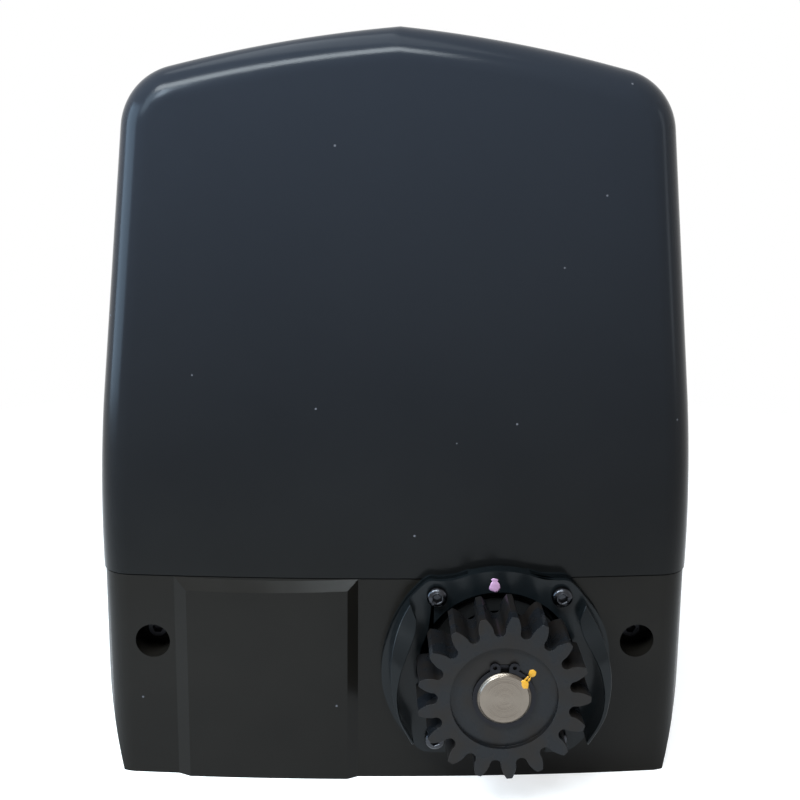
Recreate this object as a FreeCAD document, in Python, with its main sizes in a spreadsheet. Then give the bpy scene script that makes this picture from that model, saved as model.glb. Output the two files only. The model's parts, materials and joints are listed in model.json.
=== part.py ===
import FreeCAD, Part
import math
import os
import re
import Sketcher

# Sliding gate motor.  Millimetres.  +Z is up, -Y is the gate side with the pinion, +X is to the
# right when facing the pinion.  The origin is the centre of the four foundation slots, on the
# underside of the base.

Vector = FreeCAD.Vector

SIZES = {
    # body outline
    "half_width": 136.6,       # hood, at the seam
    "half_depth": 100.0,       # hood, on the centre line
    "face_bow": 7.0,           # how far the front and back faces bulge over the half width
    "corner_radius": 15.0,     # upright corners
    "side_radius": 695.0,      # barrel curve of the hood's sides
    "side_start": 117.0,        # height where the sides begin to lean in
    "side_end": 184.0,         # height where the lean turns straight
    "roof_peak": 344.1,
    "roof_radius": 650.0,
    "roof_slope": 5.4,         # degrees, beside the ridge
    "roof_corner": 29.0,
    "edge_round": 15.0,        # hood's front and back edges
    "face_draft": 4.0,         # how far the faces lean in from seam to roof
    "seam_height": 98.7,       # top of the base's ledge
    "seam_gap": 0.5,
    "hood_wall": 3.6,
    # base housing
    "base_inset": 0.9,         # hood overhang round the base
    "base_wall": 3.9,
    "floor_thick": 5.0,
    "taper_height": 68.0,
    "taper_in": 7.0,
    "lip_height": 4.3,         # rim that stands up inside the hood
    "lip_gap": 0.6,
    "lip_wall": 2.5,
    "panel_left": -102.2,      # raised panel on the front
    "panel_right": -17.5,
    "panel_proud": 2.8,
    "panel_bevel": 5.0,
    "seal_width": 1.4,
    "seal_depth": 1.6,
    "seal_proud": 0.2,
    # foundation slots and cable entry
    "slot_pitch_x": 168.0,
    "slot_pitch_y": 144.0,
    "slot_width": 11.0,
    "slot_length": 22.0,
    "cable_x": -52.0,
    "cable_y": 48.0,
    "cable_hole": 36.0,        # hole in the floor for the grommet
    "cable_bore": 20.0,        # conduit that the grommet takes
    # hood fixings
    "well_side": 23.8,         # from the hood's side to a well
    "well_x": "half_width - well_side",
    "well_z": 66.7,
    "well_bore": 16.1,
    "well_depth": 28.0,
    "well_floor_y": "half_depth - well_depth",
    "well_skin": 3.0,
    "lug_thick": 4.0,
    "lug_width": 18.0,
    "lug_gap": 0.5,
    "fixing_dia": 6.0,
    "fixing_head": 10.0,
    # gear train
    "gear_x": 46.5,
    "gear_z": 59.5,
    "pinion_teeth": 17.0,
    "pinion_module": 4.0,
    "pinion_width": 28.0,
    "pinion_stand_off": 42.0,  # pinion's front, from the hood's front
    "pinion_front": "-half_depth - pinion_stand_off",
    "pinion_turn": 5.7,        # degrees from upright to the first tooth, towards +X
    "hub_recess_dia": 47.4,
    "hub_recess": 2.5,
    "shaft_nose_dia": 24.0,
    "shaft_proud": 0.5,
    "ring_thick": 1.5,
    "worm_y": -15.0,
    "wheel_teeth": 30.0,
    "wheel_module": 2.5,
    "wheel_width": 16.0,
    "wheel_bore": 30.0,
    "worm_pitch_dia": 18.0,
    "worm_length": 34.0,
    "mesh_play": 0.6,          # tooth thickness given up for backlash
    "run_fit": 0.05,           # radial clearance of every turning fit
    "seat_gap": 0.3,           # between pieces that move past each other
    # shaft stations along Y
    "shaft_mid_dia": 30.0,
    "shaft_front_dia": 25.0,
    "shaft_rear_dia": 20.0,
    "bearing_setback": 8.0,
    "front_bearing_y": "bearing_setback - half_depth",
    "front_bearing_width": 15.0,
    "front_bearing_dia": 52.0,
    "rear_bearing_y": 20.0,
    "rear_bearing_width": 12.0,
    "rear_bearing_dia": 42.0,
    "neck_dia": 64.0,
    "neck_proud": 4.0,
    "neck_front_y": "-half_depth - neck_proud",
    "neck_web_reach": 30.0,    # web under the neck, in front of the foot
    "seal_ring_width": 7.0,
    # gear case
    "case_wall": 4.5,
    "drum_dia": 86.0,
    "drum_front_y": -30.0,
    "cover_y": 14.5,
    "cover_thick": 5.5,
    "foot_thick": 6.0,
    "foot_left": -30.0,
    "foot_right": 100.0,
    "foot_front": -40.0,
    "foot_back": 24.0,
    "worm_bore": 28.6,
    "worm_tube_dia": 40.0,
    "lower_bearing_z": 20.0,
    "upper_bearing_z": 96.0,
    "flange_z": 114.0,
    "flange_thick": 7.0,
    "flange_dia": 112.0,
    # motor
    "motor_dia": 112.0,
    "motor_rib": 4.0,
    "motor_height": 116.0,
    "stator_bore": 66.0,
    "air_gap": 0.5,
    "stack_height": 62.0,
    "rotor_shaft_dia": 15.0,
    "cap_height": 20.0,
    # guard
    "guard_proud": 8.0,
    "wing_proud": 24.0,
    "guard_front_y": "-half_depth - guard_proud",
    "guard_wing_y": "-half_depth - wing_proud",
    "guard_radius": 54.5,
    "guard_top_radius": 44.7,
    "guard_inner": 35.0,
    "guard_foot_half": 45.3,
    "guard_foot_z": 18.0,
    "ear_half": 28.3,
    "ear_upper_z": 94.3,
    "ear_lower_z": 24.7,
    "ear_radius": 8.0,
    "guard_hood_gap": 1.5,
    "guard_screw_dia": 5.0,
    "guard_screw_head": 9.4,
    # deck and electrics
    "deck_z": 109.0,
    "deck_thick": 2.5,
    "deck_inset": 9.0,
    "post_side": 12.6,         # from the hood's side to a deck post
    "post_x": "half_width - post_side",
    "post_y": 30.0,
    "board_setback": 34.0,
    "board_y": "half_depth - board_setback",
    "board_width": 190.0,
    "board_bottom": 118.0,
    "board_height": 138.0,
    "board_thick": 1.6,
    "transformer_side": 38.6,
    "transformer_x": "transformer_side - half_width",
    "transformer_y": -12.0,
    "capacitor_side": 42.6,
    "capacitor_x": "half_width - capacitor_side",
    "capacitor_y": 8.0,
    "capacitor_dia": 40.0,
    "capacitor_height": 82.0,
    "sensor_setback": 19.0,
    # release gear
    "lever_pivot_x": 80.8,
    "lever_tip_x": -3.4,
    "lever_width": 31.0,
    "lever_gap": 0.6,
    "lever_thick": 12.0,
    "crank_throw": 3.9,
    "crank_pin_dia": 5.0,
    "release_travel": 5.5,
    "dog_depth": 4.0,
    "dog_dia": 48.0,
    "rod_offset": 31.0,
    "rod_dia": 6.0,
    "lock_x": 8.0,
    "lock_dia": 18.0,
}

os.makedirs("parts", exist_ok=True)
doc = FreeCAD.newDocument("gate_motor")
sheet = doc.addObject("Spreadsheet::Sheet", "sizes")
for row, (alias, value) in enumerate(SIZES.items(), start=1):
    sheet.set("A%d" % row, alias)
    sheet.set("B%d" % row, "=" + value if isinstance(value, str) else str(value))
    sheet.setAlias("B%d" % row, alias)
doc.recompute()


class Sheet:
    """The driving sizes, read back from the spreadsheet as plain numbers."""

    def __getattr__(self, alias):
        return float(sheet.get(alias))


S = Sheet()
WORD = re.compile(r"[a-z][a-z_]*")
NODES = []
SCRATCH_CELL = "D1"


def linked(text):
    """The expression with every size's name pointed at the sheet."""
    return WORD.sub(lambda found: "sizes." + found.group(0) if found.group(0) in SIZES else found.group(0), text)


def number_of(text):
    """What a written size comes to now, worked out by the sheet."""
    sheet.set(SCRATCH_CELL, "=" + text)
    sheet.recompute()
    return float(sheet.get(SCRATCH_CELL))


def node(label, thing):
    thing.Label = label
    NODES.append(thing)
    return thing


# ---- Part primitives, bound to the sheet ---------------------------------------------------

TURNS = {
    "Z": FreeCAD.Rotation(),
    "Y": FreeCAD.Rotation(Vector(1, 0, 0), -90),
    "X": FreeCAD.Rotation(Vector(0, 1, 0), 90),
}


def placed(thing, x, y, z, axis="Z"):
    thing.Placement = FreeCAD.Placement(Vector(), TURNS[axis])
    for letter, text in (("x", x), ("y", y), ("z", z)):
        thing.setExpression("Placement.Base." + letter, linked(str(text)))
    return thing


def cylinder(name, radius, length, x, y, z, axis="Z"):
    thing = doc.addObject("Part::Cylinder", name)
    thing.setExpression("Radius", linked(str(radius)))
    thing.setExpression("Height", linked(str(length)))
    return placed(thing, x, y, z, axis)


def box(name, size, corner):
    thing = doc.addObject("Part::Box", name)
    for side, text in zip(("Length", "Width", "Height"), size):
        thing.setExpression(side, linked(str(text)))
    return placed(thing, *corner)


def fuse(name, *pieces):
    thing = doc.addObject("Part::MultiFuse", name)
    thing.Shapes = list(pieces)
    thing.Refine = True
    return thing


def cut(name, base, *tools):
    thing = doc.addObject("Part::Cut", name)
    thing.Base = base
    thing.Tool = tools[0] if len(tools) == 1 else fuse(name + "_tools", *tools)
    thing.Refine = True
    return thing


def feature(name, shape):
    thing = doc.addObject("Part::Feature", name)
    thing.Shape = shape
    return thing


# ---- PartDesign bodies ----------------------------------------------------------------------

def new_body(name, x="0", y="0", z="0"):
    return placed(doc.addObject("PartDesign::Body", name), x, y, z)


def origin_part(body, role):
    return [item for item in body.Origin.OriginFeatures if item.Role == role][0]


def new_sketch(body, name, plane, lift="0"):
    drawing = body.newObject("Sketcher::SketchObject", name)
    drawing.AttachmentSupport = [(origin_part(body, plane), "")]
    drawing.MapMode = "FlatFace"
    drawing.setExpression("AttachmentOffset.Base.z", linked(lift))
    return drawing


def pin_point(drawing, line, end, x, y):
    for kind, text in (("DistanceX", x), ("DistanceY", y)):
        at = drawing.addConstraint(Sketcher.Constraint(kind, -1, 1, line, end, number_of(str(text))))
        drawing.setExpression("Constraints[%d]" % at, linked(str(text)))


def closed_outline(drawing, corners):
    """Straight lines from corner to corner, each corner held by two written sizes."""
    spots = [Vector(number_of(str(x)), number_of(str(y)), 0) for x, y in corners]
    first = drawing.GeometryCount
    count = len(spots)
    for i in range(count):
        drawing.addGeometry(Part.LineSegment(spots[i], spots[(i + 1) % count]), False)
    for i in range(count):
        drawing.addConstraint(Sketcher.Constraint("Coincident", first + i, 2, first + (i + 1) % count, 1))
    for i, (x, y) in enumerate(corners):
        pin_point(drawing, first + i, 1, x, y)
    return drawing


def circle(drawing, x, y, radius):
    spot = Vector(number_of(str(x)), number_of(str(y)), 0)
    line = drawing.addGeometry(Part.Circle(spot, Vector(0, 0, 1), number_of(str(radius))), False)
    pin_point(drawing, line, 3, x, y)
    at = drawing.addConstraint(Sketcher.Constraint("Radius", line, number_of(str(radius))))
    drawing.setExpression("Constraints[%d]" % at, linked(str(radius)))
    return drawing


def turned(body, name, plane, corners):
    """A revolved piece: corners are (radius, station) round the plane's upright axis."""
    drawing = closed_outline(new_sketch(body, name + "_outline", plane), corners)
    turn = body.newObject("PartDesign::Revolution", name)
    turn.Profile = drawing
    turn.ReferenceAxis = (drawing, ["V_Axis"])
    turn.Angle = 360
    return turn


def padded(body, name, drawing, length, reverse=False):
    pad = body.newObject("PartDesign::Pad", name)
    pad.Profile = drawing
    pad.setExpression("Length", linked(length))
    pad.Reversed = reverse
    return pad


def pocketed(body, name, drawing, length, reverse=False):
    pocket = body.newObject("PartDesign::Pocket", name)
    pocket.Profile = drawing
    pocket.setExpression("Length", linked(length))
    pocket.Reversed = reverse
    return pocket


def around(body, name, what, axis, count):
    """Copies of a feature all the way round one of the body's axes."""
    doc.recompute()
    pattern = body.newObject("PartDesign::PolarPattern", name)
    pattern.Originals = [what]
    pattern.Axis = (origin_part(body, axis), [""])
    pattern.Angle = 360
    pattern.Occurrences = count
    body.Tip = pattern
    return pattern


# ---- shared forms of the two housings -------------------------------------------------------

def bow_at(x):
    """How far the front face has curved back at this distance from the centre line."""
    radius = (S.half_width ** 2 + S.face_bow ** 2) / (2 * S.face_bow)
    return radius - math.sqrt(radius ** 2 - x ** 2)


def front_y(x, inset):
    return -(S.half_depth - inset) + bow_at(x)


def plan_wire(inset, z, half_width):
    """Bowed front and back, straight sides."""
    corner = front_y(half_width, inset)
    left_front, right_front = Vector(-half_width, corner, z), Vector(half_width, corner, z)
    left_back, right_back = Vector(-half_width, -corner, z), Vector(half_width, -corner, z)
    front = Part.Arc(left_front, Vector(0, front_y(0, inset), z), right_front)
    back = Part.Arc(right_back, Vector(0, -front_y(0, inset), z), left_back)
    sides = [Part.LineSegment(right_front, right_back), Part.LineSegment(left_back, left_front)]
    return Part.Wire([front.toShape(), sides[0].toShape(), back.toShape(), sides[1].toShape()])


def plan_prism(inset, bottom, top):
    """The housing's plan, drawn in by an inset, as an upright block with rounded corners."""
    wire = plan_wire(inset, bottom, S.half_width - inset)
    block = Part.Face(wire).extrude(Vector(0, 0, top - bottom))
    upright = [edge for edge in block.Edges if abs(edge.tangentAt(edge.FirstParameter).z) > 0.9]
    return block.makeFillet(max(S.corner_radius - inset, 1.0), upright)


def slab(x_from, x_to, y_from, y_to, z_from, z_to):
    return Part.makeBox(x_to - x_from, y_to - y_from, z_to - z_from, Vector(x_from, y_from, z_from))


def bar(radius, start, along, length):
    return Part.makeCylinder(radius, length, start, along)


ALONG_Y = Vector(0, 1, 0)
ALONG_X = Vector(1, 0, 0)
ALONG_Z = Vector(0, 0, 1)
DEEP = 400.0               # longer than anything it cuts through


def hood_front_outline(inset):
    """Front view of the hood: barrel sides, then a low ridged roof.  Returns it and a roof corner."""
    side_radius = S.side_radius - inset
    side_centre = Vector(S.half_width - S.side_radius, 0, S.side_start)
    lean = math.asin((S.side_end - S.side_start) / S.side_radius)

    def on_side(angle):
        return side_centre + Vector(math.cos(angle), 0, math.sin(angle)) * side_radius

    bottom = S.seam_height + S.seam_gap - (1.0 if inset else 0.0)
    start = math.asin((bottom - S.side_start) / side_radius)
    slope = math.radians(S.roof_slope)
    roof_centre = Vector(-S.roof_radius * math.sin(slope), 0, S.roof_peak - S.roof_radius * math.cos(slope))
    roof_radius = S.roof_radius - inset
    shoulder = on_side(lean)
    rise = Vector(-math.sin(lean), 0, math.cos(lean))
    back = shoulder - roof_centre
    along = back.dot(rise)
    reach = -along + math.sqrt(along ** 2 - back.dot(back) + roof_radius ** 2)
    corner = shoulder + rise * reach

    def on_roof(x):
        return Vector(x, 0, roof_centre.z + math.sqrt(roof_radius ** 2 - (x - roof_centre.x) ** 2))

    def mirrored(point):
        return Vector(-point.x, 0, point.z)

    foot, belly = on_side(start), on_side((start + lean) / 2)
    ridge, brow = on_roof(0.0), on_roof(corner.x / 2)
    curves = [
        Part.LineSegment(mirrored(foot), foot),
        Part.Arc(foot, belly, shoulder),
        Part.LineSegment(shoulder, corner),
        Part.Arc(corner, brow, ridge),
        Part.Arc(ridge, mirrored(brow), mirrored(corner)),
        Part.LineSegment(mirrored(corner), mirrored(shoulder)),
        Part.Arc(mirrored(shoulder), mirrored(belly), mirrored(foot)),
    ]
    return Part.Wire([curve.toShape() for curve in curves]), corner


def hood_form(inset):
    """The hood's solid shape, drawn in by an inset."""
    outline, corner = hood_front_outline(inset)
    block = Part.Face(outline).extrude(Vector(0, DEEP, 0))
    block.translate(Vector(0, -DEEP / 2, 0))
    shoulders = [
        edge for edge in block.Edges
        if abs(edge.BoundBox.YLength - DEEP) < 1.0
        and abs(abs(edge.CenterOfMass.x) - corner.x) < 0.5
        and abs(edge.CenterOfMass.z - corner.z) < 0.5
    ]
    block = block.makeFillet(S.roof_corner - inset, shoulders)
    wide = S.half_width + 20
    top = S.roof_peak + 20
    plan = Part.makeLoft(
        [plan_wire(inset, S.seam_height - 9, wide), plan_wire(inset + S.face_draft, top, wide)], True, True)
    block = block.common(plan)
    rim = S.seam_height + 1
    edges = [edge for edge in block.Edges if abs(edge.CenterOfMass.y) > S.half_depth / 2 and edge.BoundBox.ZMax > rim]
    return block.makeFillet(S.edge_round - inset, edges)


# ---- hood -----------------------------------------------------------------------------------

def hood_lugs():
    """Four plates that hang inside the base, each with a slot that straddles a fixing screw."""
    slot = S.fixing_dia / 2 + S.lug_gap
    top = S.seam_height + 27
    plates = []
    for side in (-1, 1):
        for end in (-1, 1):
            near = S.well_floor_y - S.well_skin - S.lug_gap
            y_low, y_high = sorted((end * near, end * (near - S.lug_thick)))
            inner, outer = S.well_x - S.lug_width / 2, S.well_x + S.lug_width / 2
            x_low, x_high = sorted((side * inner, side * outer))
            hang = slab(x_low, x_high, y_low, y_high, S.well_z - 10, top)
            x_low, x_high = sorted((side * inner, side * (S.half_width - S.hood_wall / 2)))
            arm = slab(x_low, x_high, y_low, y_high, S.seam_height + S.lip_height + 1, top)
            gate = slab(side * S.well_x - slot, side * S.well_x + slot, y_low - 1, y_high + 1, 0, S.well_z)
            eye = bar(slot, Vector(side * S.well_x, y_low - 1, S.well_z), ALONG_Y, S.lug_thick + 2)
            plates.append(hang.fuse(arm).cut(gate.fuse(eye)))
    return plates


outer_hood = hood_form(0.0)
hood = outer_hood.cut(hood_form(S.hood_wall))
hood = hood.fuse([plate.common(outer_hood.fuse(slab(-130, 130, -90, 90, 0, 120))) for plate in hood_lugs()])
hood = hood.removeSplitter()
node("hood", feature("hood_shell", hood))


# ---- base housing ---------------------------------------------------------------------------

def side_taper(inset):
    """Front view of the base: upright flanks that turn in towards the ground."""
    half = S.half_width - inset
    low = half - S.taper_in
    mid = Vector(half - S.taper_in * 0.28, 0, S.taper_height * 0.45)
    left_mid = Vector(-mid.x, 0, mid.z)
    top = S.seam_height + 10
    curves = [
        Part.LineSegment(Vector(-low, 0, 0), Vector(low, 0, 0)),
        Part.Arc(Vector(low, 0, 0), mid, Vector(half, 0, S.taper_height)),
        Part.LineSegment(Vector(half, 0, S.taper_height), Vector(half, 0, top)),
        Part.LineSegment(Vector(half, 0, top), Vector(-half, 0, top)),
        Part.LineSegment(Vector(-half, 0, top), Vector(-half, 0, S.taper_height)),
        Part.Arc(Vector(-half, 0, S.taper_height), left_mid, Vector(-low, 0, 0)),
    ]
    face = Part.Face(Part.Wire([curve.toShape() for curve in curves]))
    block = face.extrude(Vector(0, DEEP, 0))
    block.translate(Vector(0, -DEEP / 2, 0))
    return block


def raised_panel():
    """The bevelled panel on the front, following the bow."""
    sink = 4.0
    over = S.panel_proud + sink

    def frame(step):
        """The panel's outline, this far out from the face."""
        shrink = S.panel_bevel * step / S.panel_proud
        left, right = S.panel_left + shrink, S.panel_right - shrink
        top = S.seam_height - shrink
        y_left = front_y(S.panel_left, S.base_inset) - step
        y_right = front_y(S.panel_right, S.base_inset) - step
        spots = [Vector(left, y_left, 0), Vector(right, y_right, 0), Vector(right, y_right, top), Vector(left, y_left, top)]
        return Part.makePolygon(spots + spots[:1])

    wedge = Part.makeLoft([frame(0.0), frame(over)], True, True)
    root = slab(S.panel_left, S.panel_right, front_y(0, S.base_inset) - 0.2, front_y(0, S.base_inset) + sink * 2, 0,
                S.seam_height)
    skin = plan_prism(S.base_inset - S.panel_proud, 0, S.seam_height)
    return wedge.fuse(root.common(plan_prism(S.base_inset, 0, S.seam_height))).common(skin)


base_outer = plan_prism(S.base_inset, 0, S.seam_height).common(side_taper(S.base_inset))
cavity_inset = S.base_inset + S.base_wall
cavity = plan_prism(cavity_inset, S.floor_thick, S.seam_height + 5).common(side_taper(cavity_inset))
lip_inset = S.hood_wall + S.lip_gap
lip_root = S.seam_height - 9
lip_top = S.seam_height + S.lip_height
lip = plan_prism(lip_inset, lip_root, lip_top).cut(plan_prism(lip_inset + S.lip_wall, lip_root - 1, lip_top + 1))
seal_inset = S.base_inset + 0.7


def seal_ring(depth, proud):
    low, high = S.seam_height - depth, S.seam_height + proud
    return plan_prism(seal_inset, low, high).cut(plan_prism(seal_inset + S.seal_width, low - 1, high + 1))


# release recess in the back
pivot_x = S.lever_pivot_x
back_at_pivot = -front_y(pivot_x, S.base_inset)
pivot_y = back_at_pivot - S.lever_thick
lever_low, lever_high = S.gear_z - S.lever_width / 2, S.gear_z + S.lever_width / 2
recess_low, recess_high = lever_low - S.lever_gap, lever_high + S.lever_gap
recess_back = pivot_y - 4.5
recess_left = S.lever_tip_x - S.lever_gap
recess_wall = 4.0
scoop_radius = 12.0
scoop_x = recess_left - 4

recess_block = slab(recess_left - 20, pivot_x + 18, recess_back - recess_wall, S.half_depth, recess_low - recess_wall,
                    recess_high + recess_wall)
recess_block = recess_block.fuse(bar(S.lever_thick + S.lever_gap + recess_wall, Vector(pivot_x, pivot_y,
                                 recess_low - recess_wall), ALONG_Z, recess_high - recess_low + 2 * recess_wall))
recess_void = slab(recess_left, pivot_x, recess_back, S.half_depth + 5, recess_low, recess_high)
heel_room = S.lever_thick + 1.4
recess_void = recess_void.fuse(slab(pivot_x - 1, pivot_x + heel_room, pivot_y, S.half_depth + 5, recess_low, recess_high))
recess_void = recess_void.fuse(bar(S.lever_thick + S.lever_gap, Vector(pivot_x, pivot_y, recess_low), ALONG_Z,
                                   recess_high - recess_low))
scoop = bar(scoop_radius, Vector(scoop_x, S.half_depth, S.gear_z - 9), ALONG_Z, 18)
rod_x = S.gear_x + S.rod_offset
rod_slot = slab(rod_x - 8, rod_x + 7, recess_back - 24, pivot_y, S.gear_z - 4.6, S.gear_z + 4.6)
lock_slot = slab(S.lock_x - 4, S.lock_x + 14, recess_back, recess_back + 5.4, recess_high - 1, recess_high + recess_wall + 1)
stub_reach = 6.0
stub_dia = 6.0
stub_holes = bar(stub_dia / 2, Vector(pivot_x, pivot_y, recess_low - recess_wall - 1), ALONG_Z,
                 recess_high - recess_low + 2 * recess_wall + 2)

adds = [lip, raised_panel(), recess_block]
cuts = [seal_ring(S.seal_depth, 1.0), recess_void, scoop, rod_slot, lock_slot, stub_holes]
rib_front = S.well_floor_y - S.well_skin - 2 * S.lug_gap - S.lug_thick
rib_thick = 12.0
for side in (-1, 1):
    for end in (-1, 1):
        well = Vector(side * S.well_x, end * (S.half_depth + 5), S.well_z)
        inward = Vector(0, -end, 0)
        depth = S.half_depth + 5 - S.well_floor_y
        adds.append(bar(S.well_bore / 2 + 3, well, inward, depth + S.well_skin))
        cuts.append(bar(S.well_bore / 2, well, inward, depth))
        cuts.append(bar(S.fixing_dia / 2 + 0.3, well, inward, depth + S.well_skin + 0.5))
        y_low, y_high = sorted((end * rib_front, end * (rib_front - rib_thick)))
        half = S.lug_width / 2
        adds.append(slab(side * S.well_x - half, side * S.well_x + half, y_low, y_high, 1, S.well_z + 10))
        cuts.append(bar(S.fixing_dia / 2, Vector(side * S.well_x, y_low - 1, S.well_z), ALONG_Y, rib_thick + 2))
        adds.append(bar(5.0, Vector(side * S.post_x, end * S.post_y, 1), ALONG_Z, S.deck_z - 1))
        cuts.append(bar(1.6, Vector(side * S.post_x, end * S.post_y, S.deck_z - 12), ALONG_Z, 13))
        slot_x, slot_y = side * S.slot_pitch_x / 2, end * S.slot_pitch_y / 2
        run = (S.slot_length - S.slot_width) / 2
        width = S.slot_width / 2
        adds.append(bar(width + 5, Vector(slot_x - run, slot_y, 1), ALONG_Z, S.floor_thick + 3).fuse(
            [bar(width + 5, Vector(slot_x + run, slot_y, 1), ALONG_Z, S.floor_thick + 3),
             slab(slot_x - run, slot_x + run, slot_y - width - 5, slot_y + width + 5, 1, S.floor_thick + 4)]))
        for shift in (-run, run):
            cuts.append(bar(width, Vector(slot_x + shift, slot_y, -1), ALONG_Z, S.floor_thick + 9))
        cuts.append(slab(slot_x - run, slot_x + run, slot_y - width, slot_y + width, -1, S.floor_thick + 8))

# neck of the gear case, guard screws, gear case bolts and cable entry
cuts.append(bar(S.neck_dia / 2 + 0.5, Vector(S.gear_x, -S.half_depth - 5, S.gear_z), ALONG_Y, 20))
ear_spots = [(side * S.ear_half, z) for z in (S.ear_upper_z, S.ear_lower_z) for side in (-1, 1)]
guard_screw_reach = 12.0
for shift, z in ear_spots:
    start = Vector(S.gear_x + shift, front_y(S.gear_x + shift, lip_inset), z)
    adds.append(bar(5.5, start, ALONG_Y, guard_screw_reach + 1))
    cuts.append(bar(S.guard_screw_dia / 2, start - ALONG_Y * 10, ALONG_Y, guard_screw_reach + 8.5))
case_bolts = [(x, y) for x in (S.foot_left + 7, S.foot_right - 7) for y in (S.foot_front + 7, S.foot_back - 7)]
case_bolt_dia = 8.0
for x, y in case_bolts:
    cuts.append(bar(case_bolt_dia / 2, Vector(x, y, 1), ALONG_Z, S.floor_thick + 1))
cuts.append(bar(S.cable_hole / 2, Vector(S.cable_x, S.cable_y, -1), ALONG_Z, S.floor_thick + 2))

keep = plan_prism(S.base_inset - S.panel_proud, 0, S.deck_z).common(side_taper(S.base_inset))
body_keep = plan_prism(S.base_inset, 0, S.deck_z)
base = base_outer.cut(cavity)
inner_adds = [piece.common(body_keep) for piece in adds[2:]]
base = base.fuse([adds[0], adds[1]] + inner_adds).common(keep)
for tool in cuts:
    base = base.cut(tool)
base = base.removeSplitter()
node("base_housing", feature("base_shell", base))
node("hood_seal", feature("hood_seal_ring", seal_ring(S.seal_depth - 0.05, S.seal_proud)))


# ---- guard round the pinion -----------------------------------------------------------------

def guard_shape():
    """Horseshoe collar: a flange with four ears, and a wing each side that shields the pinion."""
    rim, foot, foot_z = S.guard_radius, S.guard_foot_half, S.guard_foot_z - S.gear_z
    knee_x, knee_z = rim * 0.963, -rim * 0.34
    back = -S.half_depth + 6

    def spot(x, z, y=0.0):
        return Vector(x, y, z)

    def solid(curves, front, rear):
        face = Part.Face(Part.Wire([curve.toShape() for curve in curves]))
        block = face.extrude(Vector(0, rear - front, 0))
        block.translate(Vector(S.gear_x, front, S.gear_z))
        return block

    ear_z = S.ear_upper_z - S.gear_z
    ear_angle = math.atan2(ear_z, S.ear_half)
    outline = [
        Part.Arc(spot(-rim, 0), spot(-knee_x, knee_z), spot(-foot, foot_z)),
        Part.LineSegment(spot(-foot, foot_z), spot(foot, foot_z)),
        Part.Arc(spot(foot, foot_z), spot(knee_x, knee_z), spot(rim, 0)),
        Part.Arc(spot(rim, 0), spot(0, rim), spot(-rim, 0)),
    ]
    plate = solid(outline, S.guard_front_y, back)
    # the flange is lower between the ears
    top = S.guard_top_radius
    crown = bar(rim + 10, Vector(S.gear_x, S.guard_front_y - 1, S.gear_z), ALONG_Y, 40)
    crown = crown.cut(bar(top, Vector(S.gear_x, S.guard_front_y - 2, S.gear_z), ALONG_Y, 42))
    half = S.ear_half + 4
    crown = crown.common(slab(S.gear_x - half, S.gear_x + half, -DEEP, 0, S.gear_z, S.gear_z + 2 * rim))
    plate = plate.cut(crown)
    for shift, z in ear_spots:
        plate = plate.fuse(bar(S.ear_radius, Vector(S.gear_x + shift, S.guard_front_y, z), ALONG_Y,
                               back - S.guard_front_y))
    # wings
    wings = []
    for side in (-1, 1):
        tip_top = spot(side * rim * 0.747, rim * 0.583)
        crest = spot(side * rim * 0.703, rim * 0.38)
        foot_in = spot(side * rim * 0.723, -rim * 0.589)
        wing = [
            Part.LineSegment(tip_top, crest),
            Part.Arc(crest, spot(side * rim * 0.848, -rim * 0.09), foot_in),
            Part.LineSegment(foot_in, spot(side * foot, foot_z + 6)),
            Part.Arc(spot(side * foot, foot_z + 6), spot(side * rim, 0), tip_top),
        ]
        wings.append(solid(wing, S.guard_wing_y, S.guard_front_y + 1))
    shape = plate.fuse(wings)
    hollow = bar(S.guard_inner, Vector(S.gear_x, -DEEP, S.gear_z), ALONG_Y, DEEP)
    gate = slab(S.gear_x - S.ear_half + 5, S.gear_x + S.ear_half - 5, -DEEP, 0, 0, S.gear_z - 10)
    shape = shape.cut(hollow.fuse(gate))
    relief = plan_prism(-S.guard_hood_gap, S.seam_height - 0.6, S.seam_height + 40)
    shape = shape.cut(plan_prism(S.base_inset, 0, S.seam_height).fuse(relief))
    for shift, z in ear_spots:
        shape = shape.cut(bar(S.guard_screw_dia / 2 + 0.2, Vector(S.gear_x + shift, -DEEP, z), ALONG_Y, DEEP))
    return shape.removeSplitter()


node("pinion_guard", feature("guard_shell", guard_shape()))


def cap_screw(size, head_dia, head_high, reach):
    """A socket head screw that stands on z=0 and points down."""
    shank = bar(size / 2 - 0.02, Vector(0, 0, -reach), ALONG_Z, reach + 0.5)
    head = bar(head_dia / 2, Vector(), ALONG_Z, head_high)
    head = head.makeChamfer(0.5, [edge for edge in head.Edges if abs(edge.CenterOfMass.z - head_high) < 0.01])
    points = [Vector(size * 0.45 * math.cos(math.radians(60 * i)), size * 0.45 * math.sin(math.radians(60 * i)),
                     head_high + 0.1) for i in range(6)]
    socket = Part.Face(Part.makePolygon(points + points[:1])).extrude(Vector(0, 0, -head_high * 0.6))
    return head.fuse(shank).cut(socket)


def screw_set(label, screw, spots, turn=FreeCAD.Rotation()):
    """One node for a group of alike screws; spots are where their heads sit."""
    copies = []
    for spot in spots:
        copy = screw.copy()
        copy.Placement = FreeCAD.Placement(spot, turn)
        copies.append(copy)
    return node(label, feature(label + "_set", Part.makeCompound(copies)))


FACING_FRONT = FreeCAD.Rotation(Vector(1, 0, 0), 90)
FACING_BACK = FreeCAD.Rotation(Vector(1, 0, 0), -90)

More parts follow.
